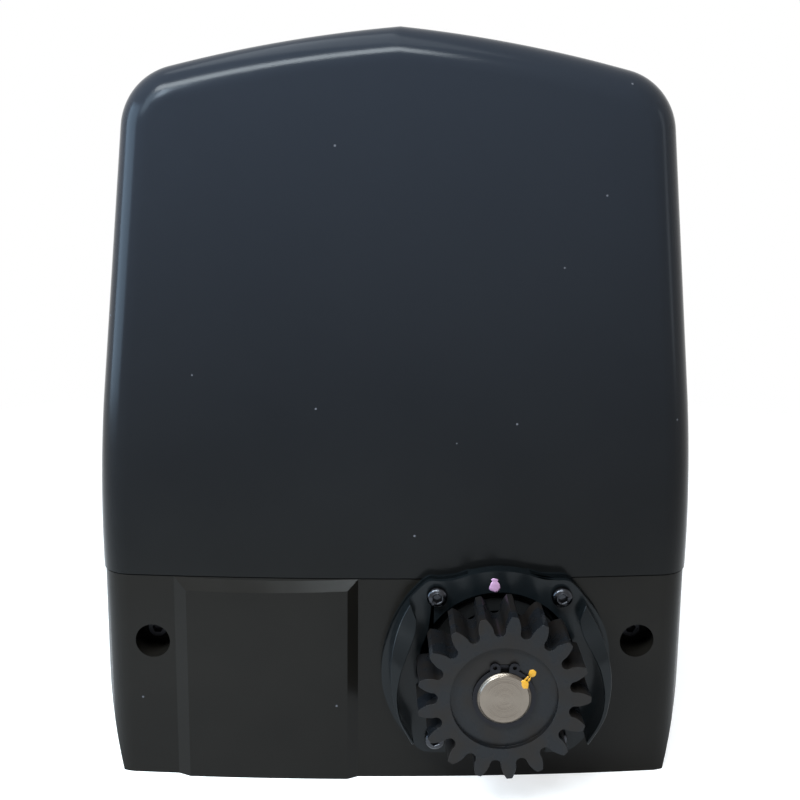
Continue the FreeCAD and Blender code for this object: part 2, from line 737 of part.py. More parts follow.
guard_seat = -S.guard_front_y - (S.half_depth - S.base_inset)
screw_set("guard_screws", cap_screw(S.guard_screw_dia, S.guard_screw_head, 4.6, guard_seat + guard_screw_reach - 1),
          [Vector(S.gear_x + shift, S.guard_front_y, z) for shift, z in ear_spots], FACING_FRONT)
fixing_reach = S.well_floor_y - rib_front + rib_thick - 1
fixing = cap_screw(S.fixing_dia, S.fixing_head, S.fixing_dia, fixing_reach)
fixing_pair = []
for end, turn in ((-1, FACING_FRONT), (1, FACING_BACK)):
    for side in (-1, 1):
        copy = fixing.copy()
        copy.Placement = FreeCAD.Placement(Vector(side * S.well_x, end * S.well_floor_y, S.well_z), turn)
        fixing_pair.append(copy)
node("hood_screws", feature("hood_screw_set", Part.makeCompound(fixing_pair)))


# ---- gears ----------------------------------------------------------------------------------

def gear_wire(teeth, module, play, start_angle, y):
    """Involute outline in the XZ plane, with one gap centred on start_angle (from +X towards +Z)."""
    pitch, pressure = teeth * module / 2, math.radians(20)
    ground, tip, root = pitch * math.cos(pressure), pitch + module, pitch - 1.25 * module
    low = max(ground, root + 0.45 * module)

    def half_gap(radius):
        bend = math.acos(min(1.0, ground / radius))
        tooth = (math.pi / 2 * module - play) / 2 / pitch + math.tan(pressure) - pressure
        return math.pi / teeth - (tooth - (math.tan(bend) - bend))

    def polar(radius, angle):
        return Vector(radius * math.cos(angle), y, radius * math.sin(angle))

    edges = []
    step = 2 * math.pi / teeth
    middle = (low + tip) / 2
    for i in range(int(teeth)):
        centre = start_angle + i * step
        after = centre + step
        left, right = centre - half_gap(low), centre + half_gap(low)
        edges.append(Part.Arc(polar(low, left), polar(root, centre), polar(low, right)))
        edges.append(Part.Arc(polar(low, right), polar(middle, centre + half_gap(middle)),
                              polar(tip, centre + half_gap(tip))))
        edges.append(Part.Arc(polar(tip, centre + half_gap(tip)), polar(tip, centre + step / 2),
                              polar(tip, after - half_gap(tip))))
        edges.append(Part.Arc(polar(tip, after - half_gap(tip)), polar(middle, after - half_gap(middle)),
                              polar(low, after - half_gap(low))))
    return Part.Wire([edge.toShape() for edge in edges])


def key_slab(dia, width, y_from, y_to, rise):
    """A parallel key on top of a shaft along Y at the gear axis."""
    low = S.gear_z + dia / 2 - width * 0.45
    return slab(S.gear_x - width / 2, S.gear_x + width / 2, y_from, y_to, low, S.gear_z + dia / 2 + rise)


pinion_back = S.pinion_front + S.pinion_width
hub_face = S.pinion_front + S.hub_recess
first_gap = math.radians(90 - S.pinion_turn) + math.pi / S.pinion_teeth
gear_axis = Vector(S.gear_x, 0, S.gear_z)
pinion = Part.Face(gear_wire(S.pinion_teeth, S.pinion_module, 0.2, first_gap, S.pinion_front))
pinion = pinion.extrude(Vector(0, S.pinion_width, 0))
pinion.translate(gear_axis)
recess = bar(S.hub_recess_dia / 2, gear_axis + ALONG_Y * (S.pinion_front - 1), ALONG_Y, S.hub_recess + 1)
pinion = pinion.cut(recess)
pinion = pinion.cut(bar(S.shaft_nose_dia / 2 + 0.02, gear_axis + ALONG_Y * (S.pinion_front - 1), ALONG_Y, 60))
pinion_key_width = 8.0
pinion = pinion.cut(key_slab(S.shaft_nose_dia + 0.2, pinion_key_width, S.pinion_front - 1, pinion_back + 1, 3.0))
node("pinion", feature("pinion_gear", pinion))
node("pinion_key", feature("pinion_key_bar", key_slab(
    S.shaft_nose_dia, pinion_key_width - 0.1, hub_face + 1, pinion_back - 1, 2.6)))

# output shaft, turned, with its groove for the retaining ring and two keyways
nose = S.pinion_front - S.shaft_proud
collar_front = S.worm_y - S.wheel_width / 2 - 4.3
rear_step = 9.5
ring_groove = hub_face - S.ring_thick - 0.05
shaft = new_body("shaft", "gear_x", "0", "gear_z")
turned(shaft, "shaft_turning", "XY_Plane", [
    ("0", nose),
    ("shaft_nose_dia / 2 - 1.2", nose),
    ("shaft_nose_dia / 2", nose + 1.2),
    ("shaft_nose_dia / 2", ring_groove),
    ("shaft_nose_dia / 2 - 1.4", ring_groove),
    ("shaft_nose_dia / 2 - 1.4", hub_face),
    ("shaft_nose_dia / 2", hub_face),
    ("shaft_nose_dia / 2", pinion_back + 1.5),
    ("shaft_front_dia / 2", pinion_back + 1.5),
    ("shaft_front_dia / 2", "front_bearing_y + front_bearing_width"),
    ("shaft_mid_dia / 2", "front_bearing_y + front_bearing_width"),
    ("shaft_mid_dia / 2", collar_front),
    ("shaft_mid_dia / 2 + 3", collar_front),
    ("shaft_mid_dia / 2 + 3", collar_front + 4),
    ("shaft_mid_dia / 2", collar_front + 4),
    ("shaft_mid_dia / 2", rear_step),
    ("shaft_rear_dia / 2", rear_step),
    ("shaft_rear_dia / 2", "rear_bearing_y + rear_bearing_width - 1"),
    ("0", "rear_bearing_y + rear_bearing_width - 1"),
])
keyways = new_sketch(shaft, "pinion_keyway_outline", "XY_Plane", "shaft_nose_dia / 2 - 0.45 * %s" % pinion_key_width)
closed_outline(keyways, [(-pinion_key_width / 2, hub_face + 1), (pinion_key_width / 2, hub_face + 1),
                         (pinion_key_width / 2, pinion_back - 1), (-pinion_key_width / 2, pinion_back - 1)])
pocketed(shaft, "pinion_keyway", keyways, "shaft_nose_dia", True)
dog_front = S.worm_y + S.wheel_width / 2 + S.seat_gap
dog_key_from, dog_key_to = dog_front + 1, rear_step - 0.5
dog_key_width = 8.0
keyways = new_sketch(shaft, "dog_keyway_outline", "XY_Plane", "shaft_mid_dia / 2 - 0.45 * %s" % dog_key_width)
closed_outline(keyways, [(-dog_key_width / 2, dog_key_from), (dog_key_width / 2, dog_key_from),
                         (dog_key_width / 2, dog_key_to), (-dog_key_width / 2, dog_key_to)])
pocketed(shaft, "dog_keyway", keyways, "shaft_mid_dia", True)
node("output_shaft", shaft)
node("clutch_key", feature("clutch_key_bar", key_slab(
    S.shaft_mid_dia, dog_key_width - 0.1, dog_key_from, dog_key_to, 2.4)))


def retaining_ring():
    """External circlip in the shaft's groove, with two eyes near the top."""
    groove = S.shaft_nose_dia / 2 - 1.4
    outer = S.shaft_nose_dia / 2 + 1.9
    start = gear_axis + ALONG_Y * (ring_groove + 0.03)
    ring = bar(outer, start, ALONG_Y, S.ring_thick)
    eye_angle = math.radians(17)
    for side in (-1, 1):
        lean = Vector(side * math.sin(eye_angle), 0, math.cos(eye_angle)) * (outer + 0.6)
        ring = ring.fuse(bar(2.3, start + lean, ALONG_Y, S.ring_thick))
    ring = ring.cut(bar(groove + 0.02, start - ALONG_Y, ALONG_Y, 5))
    gap = slab(S.gear_x - 1.9, S.gear_x + 1.9, start.y - 1, start.y + 4, S.gear_z, S.gear_z + 30)
    ring = ring.cut(gap)
    for side in (-1, 1):
        lean = Vector(side * math.sin(eye_angle), 0, math.cos(eye_angle)) * (outer + 0.8)
        ring = ring.cut(bar(0.9, start + lean - ALONG_Y, ALONG_Y, 5))
    return ring


node("retaining_ring", feature("retaining_circlip", retaining_ring()))


# worm wheel: bronze, helical to suit the worm, with pockets for the clutch dogs in its back face
def dog_teeth(radius_in, radius_out, half_angle, y_from, y_to):
    teeth = []
    for i in range(6):
        wedge = bar(radius_out, gear_axis + ALONG_Y * y_from, ALONG_Y, y_to - y_from)
        wedge = wedge.cut(bar(radius_in, gear_axis + ALONG_Y * (y_from - 1), ALONG_Y, y_to - y_from + 2))
        span = radius_out * math.tan(half_angle)
        sector = slab(-span, span, y_from - 1, y_to + 1, 0, radius_out + 2)
        sector.rotate(Vector(), ALONG_Y, 60.0 * i)
        sector.translate(gear_axis)
        teeth.append(wedge.common(sector))
    return teeth


wheel_pitch = S.wheel_teeth * S.wheel_module / 2
wheel_front, wheel_back = S.worm_y - S.wheel_width / 2, S.worm_y + S.wheel_width / 2
lead = math.pi * S.wheel_module
lead_slope = lead / (math.pi * S.worm_pitch_dia)
twist = lead_slope * S.wheel_width / 2 / wheel_pitch
dog_in, dog_out = S.wheel_bore / 2 + 3, S.dog_dia / 2
wires = [gear_wire(S.wheel_teeth, S.wheel_module, S.mesh_play, math.pi + swing, y)
         for swing, y in ((twist, wheel_front), (-twist, wheel_back))]
wheel = Part.makeLoft(wires, True, True)
wheel.translate(gear_axis)
wheel = wheel.cut(bar(S.wheel_bore / 2 + S.run_fit, gear_axis + ALONG_Y * (wheel_front - 1), ALONG_Y, S.wheel_width + 2))
for pocket in dog_teeth(dog_in - 0.5, dog_out + 0.5, math.radians(13.5), wheel_back - S.dog_depth - 0.3, wheel_back + 1):
    wheel = wheel.cut(pocket)
for face, into in ((wheel_front - 1, 1), (wheel_back - 2.5 + 0.0, 1)):
    ring = bar(wheel_pitch - 4.5, gear_axis + ALONG_Y * face, ALONG_Y, 3.5)
    ring = ring.cut(bar(dog_out + 2.5, gear_axis + ALONG_Y * (face - 1), ALONG_Y, 5.5))
    wheel = wheel.cut(ring)
node("worm_wheel", feature("worm_wheel_bronze", wheel))

# clutch dog: slides on the shaft's key, and its six teeth sit in the wheel's pockets
dog_length = 12.5
dog_back = dog_front + dog_length - S.release_travel - 1.0
groove_from, groove_to = dog_front + 2.0, dog_front + 5.5
dog = bar(dog_out, gear_axis + ALONG_Y * dog_front, ALONG_Y, dog_back - dog_front)
neck = bar(dog_out + 1, gear_axis + ALONG_Y * groove_from, ALONG_Y, groove_to - groove_from)
neck = neck.cut(bar(dog_out - 4.5, gear_axis + ALONG_Y * (groove_from - 1), ALONG_Y, 10))
dog = dog.cut(neck)
dog = dog.fuse(dog_teeth(dog_in, dog_out, math.radians(12), dog_front - S.dog_depth, dog_front + 0.5))
dog = dog.cut(bar(S.shaft_mid_dia / 2 + S.run_fit, gear_axis + ALONG_Y * (dog_front - 10), ALONG_Y, 40))
dog = dog.cut(key_slab(S.shaft_mid_dia, dog_key_width + 0.1, dog_front - 6, dog_front + 30, 2.6))
node("clutch_dog", feature("clutch_dog_sleeve", dog))


# worm shaft: motor shaft with the worm thread cut on it
def worm_shape():
    root = S.worm_pitch_dia / 2 - 1.2 * S.wheel_module
    tip = S.worm_pitch_dia / 2 + S.wheel_module
    low, high = S.gear_z - S.worm_length / 2, S.gear_z + S.worm_length / 2
    lower_end, upper_end = S.lower_bearing_z + S.seat_gap, S.flange_z + S.flange_thick + S.motor_height + 12
    journal, shoulder = S.rotor_shaft_dia / 2, S.rotor_shaft_dia / 2 + 1
    profile = [(0, lower_end), (worm_journal, lower_end), (worm_journal, low), (root + 0.2, low), (root + 0.2, high),
               (shoulder, high), (shoulder, S.upper_bearing_z - 0.5), (journal, S.upper_bearing_z - 0.5),
               (journal, upper_end), (0, upper_end)]
    outline = Part.makePolygon([Vector(radius, 0, z) for radius, z in profile + profile[:1]])
    core = Part.Face(outline).revolve(Vector(), ALONG_Z, 360)
    turns = int((S.worm_length - lead) / lead)
    spine = Part.Wire(Part.makeHelix(lead, turns * lead, root).Edges)
    wide, narrow = lead * 0.31, lead * 0.11
    corners = [Vector(root - 0.8, 0, -wide), Vector(tip, 0, -narrow), Vector(tip, 0, narrow), Vector(root - 0.8, 0, wide)]
    tooth = Part.makePolygon(corners + corners[:1])
    thread = spine.makePipeShell([tooth], True, True)
    thread.translate(Vector(0, 0, S.gear_z - turns / 2 * lead))
    if turns % 2:
        thread.rotate(Vector(), ALONG_Z, 180)
    shape = core.fuse(thread)
    shape.translate(Vector(0, S.worm_y, 0))
    return shape


worm_journal = 6.0
node("worm_shaft", feature("worm_shaft_steel", worm_shape()))


# ---- bearings and seal ----------------------------------------------------------------------

def bearing(name, x, y, z, plane, bore, outer, station, width):
    """A shielded ball bearing: two rings with the shield set back between them."""
    body = new_body(name, x, y, z)
    ledge, step = "(%s) * 0.22 + (%s) * 0.28" % (outer, bore), "0.6"
    far = "(%s) * 0.35 + (%s) * 0.15" % (outer, bore)
    turned(body, name + "_turning", plane, [
        ("(%s) / 2" % bore, station), (ledge, station), (ledge, "%s + %s" % (station, step)),
        (far, "%s + %s" % (station, step)), (far, station), ("(%s) / 2" % outer, station),
        ("(%s) / 2" % outer, "%s + %s" % (station, width)), (far, "%s + %s" % (station, width)),
        (far, "%s + %s - %s" % (station, width, step)), (ledge, "%s + %s - %s" % (station, width, step)),
        (ledge, "%s + %s" % (station, width)), ("(%s) / 2" % bore, "%s + %s" % (station, width)),
    ])
    return body


node("front_bearing", bearing("bearing_front", "gear_x", "0", "gear_z", "XY_Plane", "shaft_front_dia + 2 * run_fit",
                              "front_bearing_dia", "front_bearing_y", "front_bearing_width"))
node("rear_bearing", bearing("bearing_rear", "gear_x", "0", "gear_z", "XY_Plane", "shaft_rear_dia + 2 * run_fit",
                             "rear_bearing_dia", "rear_bearing_y", "rear_bearing_width"))
node("worm_bearing_lower", bearing("bearing_low", "0", "worm_y", "0", "XZ_Plane", "12 + 2 * run_fit", "28",
                                   "lower_bearing_z", "8"))
node("worm_bearing_upper", bearing("bearing_high", "0", "worm_y", "0", "XZ_Plane", "rotor_shaft_dia + 2 * run_fit",
                                   "35", "upper_bearing_z", "11"))
node("motor_bearing", bearing("bearing_top", "0", "worm_y", "0", "XZ_Plane", "rotor_shaft_dia + 2 * run_fit", "32",
                              "flange_z + flange_thick + motor_height + 3", "9"))
seal_body = new_body("oil_seal_body", "gear_x", "0", "gear_z")
seal_station = "front_bearing_y - seal_ring_width - 1"
turned(seal_body, "oil_seal_turning", "XY_Plane", [
    ("shaft_front_dia / 2 + run_fit", seal_station + " + 2"), ("shaft_front_dia / 2 + 3", seal_station),
    ("front_bearing_dia / 2", seal_station), ("front_bearing_dia / 2", seal_station + " + seal_ring_width"),
    ("front_bearing_dia / 2 - 4", seal_station + " + seal_ring_width"),
    ("front_bearing_dia / 2 - 4", seal_station + " + 3"), ("shaft_front_dia / 2 + 3", seal_station + " + 3"),
    ("shaft_front_dia / 2 + run_fit", seal_station + " + 3.2"),
])
node("oil_seal", seal_body)


# ---- gear case ------------------------------------------------------------------------------
drum_outer = "drum_dia / 2 + case_wall"
case_solid = fuse(
    "case_solid",
    cylinder("case_drum", drum_outer, "cover_y - drum_front_y", "gear_x", "drum_front_y", "gear_z", "Y"),
    cylinder("case_neck", "neck_dia / 2", "drum_front_y - neck_front_y + 2", "gear_x", "neck_front_y", "gear_z", "Y"),
    cylinder("case_worm_tube", "worm_tube_dia / 2", "upper_bearing_z - floor_thick - 2", "0", "worm_y", "floor_thick"),
    cylinder("case_upper_boss", "35 / 2 + case_wall", "flange_z - upper_bearing_z + 9", "0", "worm_y",
             "upper_bearing_z - 6"),
    cylinder("case_flange", "flange_dia / 2", "flange_thick", "0", "worm_y", "flange_z"),
    box("case_foot", ("foot_right - foot_left", "foot_back - foot_front", "foot_thick"),
        ("foot_left", "foot_front", "floor_thick")),
    box("case_web", ("drum_dia * 0.7", "cover_y - drum_front_y - 6", "gear_z - floor_thick - drum_dia * 0.4"),
        ("gear_x - drum_dia * 0.35", "drum_front_y + 3", "floor_thick")),
    box("case_neck_web", ("neck_dia * 0.25", "neck_web_reach - foot_front", "gear_z - floor_thick - 10"),
        ("gear_x - neck_dia * 0.125", "foot_front - neck_web_reach", "floor_thick")),
)
case_voids = fuse(
    "case_voids",
    cylinder("case_drum_void", "drum_dia / 2", "60", "gear_x", "drum_front_y + case_wall", "gear_z", "Y"),
    cylinder("case_seal_seat", "front_bearing_dia / 2", "front_bearing_y - neck_front_y + front_bearing_width + 1",
             "gear_x", "neck_front_y - 1", "gear_z", "Y"),
    cylinder("case_shaft_way", "shaft_mid_dia / 2 + 3.5", "drum_front_y - front_bearing_y + 5", "gear_x",
             "front_bearing_y + 1", "gear_z", "Y"),
    cylinder("case_worm_void", "worm_bore / 2", "upper_bearing_z - lower_bearing_z - 6", "0", "worm_y",
             "lower_bearing_z + 8"),
    cylinder("case_low_seat", "28 / 2", "9", "0", "worm_y", "lower_bearing_z"),
    cylinder("case_high_seat", "35 / 2", "40", "0", "worm_y", "upper_bearing_z"),
)
bolt_ways = [cylinder("case_bolt_way_%d" % i, case_bolt_dia / 2 + 0.3, "foot_thick + 2", x, y, "floor_thick - 1")
             for i, (x, y) in enumerate(case_bolts)]
cover_bolt_ring = S.drum_dia / 2 + S.case_wall / 2 + 2.5
cover_angles = [60 * i for i in range(6)]
cover_spots = [(S.gear_x + cover_bolt_ring * math.cos(math.radians(a)),
                S.gear_z + cover_bolt_ring * math.sin(math.radians(a))) for a in cover_angles]
cover_ears = [cylinder("case_ear_%d" % i, "4.5", "18", x, "cover_y - 18", z, "Y") for i, (x, z) in enumerate(cover_spots)]
ear_ways = [cylinder("case_ear_way_%d" % i, "2", "12", x, "cover_y - 11", z, "Y") for i, (x, z) in enumerate(cover_spots)]
motor_angles = [45 + 90 * i for i in range(4)]
motor_bolt_ring = S.motor_dia / 2 + S.motor_rib
motor_spots = [(motor_bolt_ring * math.cos(math.radians(a)), S.worm_y + motor_bolt_ring * math.sin(math.radians(a)))
               for a in motor_angles]
flange_ways = [cylinder("flange_way_%d" % i, "2.5", "flange_thick + 2", x, y, "flange_z - 1")
               for i, (x, y) in enumerate(motor_spots)]
flange_ears = [cylinder("flange_ear_%d" % i, "6", "flange_thick", x, y, "flange_z") for i, (x, y) in enumerate(motor_spots)]
case = cut("gear_case_casting", fuse("case_with_ears", case_solid, *cover_ears, *flange_ears), case_voids, *bolt_ways, *ear_ways,
           *flange_ways)
node("gear_case", case)
screw_set("case_bolts", cap_screw(case_bolt_dia, 13.0, 8.0, S.foot_thick + 3.5),
          [Vector(x, y, S.floor_thick + S.foot_thick) for x, y in case_bolts])

# cover with the rear bearing's boss
cover = new_body("cover", "gear_x", "0", "gear_z")
boss_end = "rear_bearing_y + rear_bearing_width"
turned(cover, "cover_turning", "XY_Plane", [
    ("0", boss_end + " + 3"), ("rear_bearing_dia / 2 + case_wall", boss_end + " + 3"),
    ("rear_bearing_dia / 2 + case_wall", "cover_y + cover_thick"), (drum_outer, "cover_y + cover_thick"),
    (drum_outer, "cover_y"), ("rear_bearing_dia / 2", "cover_y"), ("rear_bearing_dia / 2", boss_end), ("0", boss_end),
])
doc.recompute()
cover_ears = [cylinder("cover_ear_%d" % i, "4.5", "cover_thick", x, "cover_y", z, "Y")
              for i, (x, z) in enumerate(cover_spots)]
cover_ways = [cylinder("cover_way_%d" % i, "2.3", "cover_thick + 2", x, "cover_y - 1", z, "Y")
              for i, (x, z) in enumerate(cover_spots)]
rod_way = cylinder("cover_rod_way", "rod_dia / 2 + run_fit", "cover_thick + 8", "gear_x + rod_offset", "cover_y - 1",
                   "gear_z", "Y")
rod_boss = cylinder("cover_rod_boss", "rod_dia / 2 + 3", "cover_thick + 5", "gear_x + rod_offset", "cover_y", "gear_z", "Y")
node("gear_case_cover", cut("cover_casting", fuse("cover_with_ears", cover, rod_boss, *cover_ears), rod_way, *cover_ways))
screw_set("cover_screws", cap_screw(4.0, 7.0, 4.0, S.cover_thick + 9),
          [Vector(x, S.cover_y + S.cover_thick, z) for x, z in cover_spots], FACING_BACK)


# ---- motor ----------------------------------------------------------------------------------
motor_base = "flange_z + flange_thick"
motor_top = motor_base + " + motor_height"
can = new_body("motor_can", "0", "worm_y", motor_base)
drawing = new_sketch(can, "can_outline", "XY_Plane")
circle(drawing, "0", "0", "motor_dia / 2")
circle(drawing, "0", "0", "motor_dia / 2 - 4")
padded(can, "can_pad", drawing, "motor_height")
rib = new_sketch(can, "can_rib_outline", "XY_Plane", "8")
closed_outline(rib, [("motor_dia / 2 - 1", "-1.2"), ("motor_dia / 2 + motor_rib", "-0.8"),
                     ("motor_dia / 2 + motor_rib", "0.8"), ("motor_dia / 2 - 1", "1.2")])
around(can, "can_ribs", padded(can, "can_rib", rib, "motor_height - 16"), "Z_Axis", 20)
node("motor_case", can)

stator = new_body("stator", "0", "worm_y", motor_base + " + (motor_height - stack_height) / 2")
drawing = new_sketch(stator, "stator_outline", "XY_Plane")
circle(drawing, "0", "0", "motor_dia / 2 - 4")
circle(drawing, "0", "0", "stator_bore / 2")
padded(stator, "stator_pad", drawing, "stack_height")
gap = new_sketch(stator, "stator_slot_outline", "XY_Plane")
closed_outline(gap, [("stator_bore / 2 - 1", "-1.2"), ("stator_bore / 2 + 2", "-1.2"), ("stator_bore / 2 + 12", "-3.4"),
                     ("stator_bore / 2 + 12", "3.4"), ("stator_bore / 2 + 2", "1.2"), ("stator_bore / 2 - 1", "1.2")])
around(stator, "stator_slots", pocketed(stator, "stator_slot", gap, "stack_height", True), "Z_Axis", 24)
node("stator_core", stator)


def winding_ring(z_low, z_high):
    """Taped end turns of the winding: a full-bodied ring."""
    inner, outer = S.stator_bore / 2 + 2.5, S.motor_dia / 2 - 7
    block = bar(outer, Vector(0, S.worm_y, z_low), ALONG_Z, z_high - z_low)
    block = block.cut(bar(inner, Vector(0, S.worm_y, z_low - 1), ALONG_Z, z_high - z_low + 2))
    return block.makeFillet(4.0, [edge for edge in block.Edges if edge.Length > 100])


stack_low = S.flange_z + S.flange_thick + (S.motor_height - S.stack_height) / 2
stack_high = stack_low + S.stack_height
coil = 15.0
node("stator_windings", feature("stator_winding_rings", Part.makeCompound(
    [winding_ring(stack_low - coil, stack_low), winding_ring(stack_high, stack_high + coil)])))

rotor = new_body("rotor", "0", "worm_y", motor_base + " + (motor_height - stack_height) / 2")
turned(rotor, "rotor_turning", "XZ_Plane", [
    ("rotor_shaft_dia / 2", "-5"), ("stator_bore / 2 - air_gap - 3", "-5"), ("stator_bore / 2 - air_gap - 3", "0"),
    ("stator_bore / 2 - air_gap", "0"), ("stator_bore / 2 - air_gap", "stack_height"),
    ("stator_bore / 2 - air_gap - 3", "stack_height"), ("stator_bore / 2 - air_gap - 3", "stack_height + 5"),
    ("rotor_shaft_dia / 2", "stack_height + 5"),
])
gap = new_sketch(rotor, "rotor_blade_gap_outline", "XY_Plane", "stack_height")
closed_outline(gap, [("rotor_shaft_dia / 2 + 6", "-4"), ("stator_bore / 2", "-4"), ("stator_bore / 2", "4"),
                     ("rotor_shaft_dia / 2 + 6", "4")])
around(rotor, "rotor_blades", pocketed(rotor, "rotor_blade_gap", gap, "6", True), "Z_Axis", 8)
node("rotor_core", rotor)

cap = new_body("motor_cap_body", "0", "worm_y", motor_top)
turned(cap, "cap_turning", "XZ_Plane", [
    ("0", "cap_height"), ("18", "cap_height"), ("24", "cap_height - 3"), ("motor_dia / 2 - 8", "cap_height - 8"),
    ("motor_dia / 2", "5"), ("motor_dia / 2", "0"), ("motor_dia / 2 - 6", "0"), ("motor_dia / 2 - 14", "4"),
    ("24", "8"), ("24", "3"), ("16", "3"), ("16", "12.2"), ("0", "12.2"),
])
doc.recompute()
cap_bosses = [cylinder("cap_boss_%d" % i, "5.5", "8", x, y, motor_top) for i, (x, y) in enumerate(motor_spots)]
cap_ways = [cylinder("cap_way_%d" % i, "2.3", "30", x, y, motor_top + " - 1") for i, (x, y) in enumerate(motor_spots)]
cap_seats = [cylinder("cap_seat_%d" % i, "5.5", "20", x, y, motor_top + " + 8") for i, (x, y) in enumerate(motor_spots)]
node("motor_end_cap", cut("motor_cap_casting", fuse("cap_with_bosses", cap, *cap_bosses), *cap_ways, *cap_seats))
cap_seat_z = S.flange_z + S.flange_thick + S.motor_height + 8
screw_set("motor_bolts", cap_screw(4.0, 8.0, 4.0, S.motor_height + 8 + S.flange_thick - 1),
          [Vector(x, y, cap_seat_z) for x, y in motor_spots])


# ---- deck and electrics ---------------------------------------------------------------------
deck_top = S.deck_z + S.deck_thick
deck = plan_prism(S.deck_inset, S.deck_z, deck_top)
deck = deck.cut(bar(motor_bolt_ring + 8, Vector(0, S.worm_y, 0), ALONG_Z, 200))
for side in (-1, 1):
    for end in (-1, 1):
        x_low, x_high = sorted((side * (S.well_x - S.lug_width / 2 - 2), side * S.half_width))
        y_low, y_high = sorted((end * (rib_front - 1), end * (S.well_floor_y + 2)))
        deck = deck.cut(slab(x_low, x_high, y_low, y_high, 0, 200))
        deck = deck.cut(bar(2.3, Vector(side * S.post_x, end * S.post_y, 0), ALONG_Z, 200))
deck = deck.cut(bar(12, Vector(S.cable_x, S.cable_y - 8, 0), ALONG_Z, 200))
former_x, former_y, former_screw = S.transformer_x, S.transformer_y, 42.0
for end in (-1, 1):
    deck = deck.cut(bar(1.7, Vector(former_x, former_y + end * former_screw, 0), ALONG_Z, 200))
node("deck_plate", feature("deck_panel", deck))
screw_set("deck_screws", cap_screw(3.2, 7.0, 2.4, 10.0),
          [Vector(x * S.post_x, y * S.post_y, deck_top) for x in (-1, 1) for y in (-1, 1)])

grommet = new_body("grommet", "cable_x", "cable_y", "0")
turned(grommet, "grommet_turning", "XZ_Plane", [
    ("cable_bore / 2", "0.5"), ("cable_hole / 2 - 0.1", "0.5"), ("cable_hole / 2 - 0.1", "floor_thick"),
    ("cable_hole / 2 + 3", "floor_thick"), ("cable_hole / 2 + 3", "floor_thick + 3"),
    ("cable_bore / 2 + 4", "floor_thick + 3"), ("cable_bore / 2 + 3", "floor_thick + 12"), ("cable_bore / 2", "floor_thick + 12"),
])
node("cable_grommet", grommet)

# transformer
core = slab(-22, 22, -35, 35, 6, 64)
core = core.cut(slab(-23, 23, -23, -11.5, 18, 52)).cut(slab(-23, 23, 11.5, 23, 18, 52))
core.translate(Vector(former_x, former_y, deck_top))
node("transformer_core", feature("transformer_stack", core))
winding = slab(-30, 30, -22.5, 22.5, 18.5, 51.5)
winding = winding.makeFillet(5, [edge for edge in winding.Edges if abs(edge.tangentAt(0).z) > 0.9])
winding = winding.cut(slab(-22.1, 22.1, -11.6, 11.6, 0, 80)).cut(slab(-22.1, 22.1, -40, -23.1, 0, 80))
winding.translate(Vector(former_x, former_y, deck_top))
node("transformer_coil", feature("transformer_winding", winding))
strap = slab(-17, 17, -47, 47, 0, 67).cut(slab(-18, 18, -35.1, 35.1, 0, 64.1))
strap = strap.cut(slab(-18, 18, -48, -37, 2, 70)).cut(slab(-18, 18, 37, 48, 2, 70))
for end in (-1, 1):
    strap = strap.cut(bar(1.7, Vector(0, end * former_screw, -1), ALONG_Z, 5))
strap.translate(Vector(former_x, former_y, deck_top))
stand = slab(-22, 22, -35, 35, 0, 6)
stand.translate(Vector(former_x, former_y, deck_top))
node("transformer_bracket", feature("transformer_strap", strap.fuse(stand)))
screw_set("transformer_screws", cap_screw(3.2, 6.0, 2.4, 2.4), [Vector(former_x, former_y + former_screw * end, deck_top + 2)
                                                              for end in (-1, 1)])

# run capacitor in its clip
can_x, can_y, can_radius, can_height = S.capacitor_x, S.capacitor_y, S.capacitor_dia / 2, S.capacitor_height
tin = bar(can_radius, Vector(can_x, can_y, deck_top + 2), ALONG_Z, can_height)
tin = tin.makeFillet(3, [edge for edge in tin.Edges if edge.Length > 100])
for side in (-1, 1):
    tin = tin.fuse(slab(can_x + side * 6 - 0.4, can_x + side * 6 + 0.4, can_y - 3, can_y + 3, deck_top + can_height,
                        deck_top + can_height + 10))
node("run_capacitor", feature("capacitor_can", tin))
clip = bar(can_radius + 2, Vector(can_x, can_y, deck_top), ALONG_Z, 24)
clip = clip.cut(bar(can_radius + 0.05, Vector(can_x, can_y, deck_top + 2), ALONG_Z, 30))
clip = clip.cut(slab(can_x - 4, can_x + 4, can_y - 40, can_y, deck_top + 4, deck_top + 40))
node("capacitor_clip", feature("capacitor_cup", clip))

# control board on its carrier
board_left = -S.board_width / 2
carrier = slab(board_left - 4, -board_left + 4, S.board_y - 7, S.board_y - 4.5, deck_top, S.board_bottom + S.board_height + 4)
carrier = carrier.fuse(slab(board_left - 4, -board_left + 4, S.board_y - 7, S.board_y + 16, deck_top, deck_top + 2.5))
board_spots = [(side * (S.board_width / 2 - 6), S.board_bottom + z)
               for side in (-1, 1) for z in (6, S.board_height - 6)]
for x, z in board_spots:
    carrier = carrier.fuse(bar(4, Vector(x, S.board_y - 5, z), ALONG_Y, 5))
    carrier = carrier.cut(bar(1.5, Vector(x, S.board_y - 6, z), ALONG_Y, 12))
node("board_carrier", feature("board_carrier_tray", carrier.cut(slab(-60, 60, S.board_y - 8, S.board_y - 4, 140, 230))))
board = slab(board_left, -board_left, S.board_y, S.board_y + S.board_thick, S.board_bottom, S.board_bottom + S.board_height)
for x, z in board_spots:
    board = board.cut(bar(1.8, Vector(x, S.board_y - 1, z), ALONG_Y, 5))
node("control_board", feature("board_panel", board))
screw_set("board_screws", cap_screw(3.0, 5.6, 2.0, 5.0), [Vector(x, S.board_y + S.board_thick, z) for x, z in board_spots],
          FACING_BACK)
face_y = S.board_y + S.board_thick


def on_board(x, z, wide, high, deep):
    """A component that stands on the board's outer face; x, z is its lower left corner."""
    return slab(board_left + x, board_left + x + wide, face_y, face_y + deep, S.board_bottom + z, S.board_bottom + z + high)


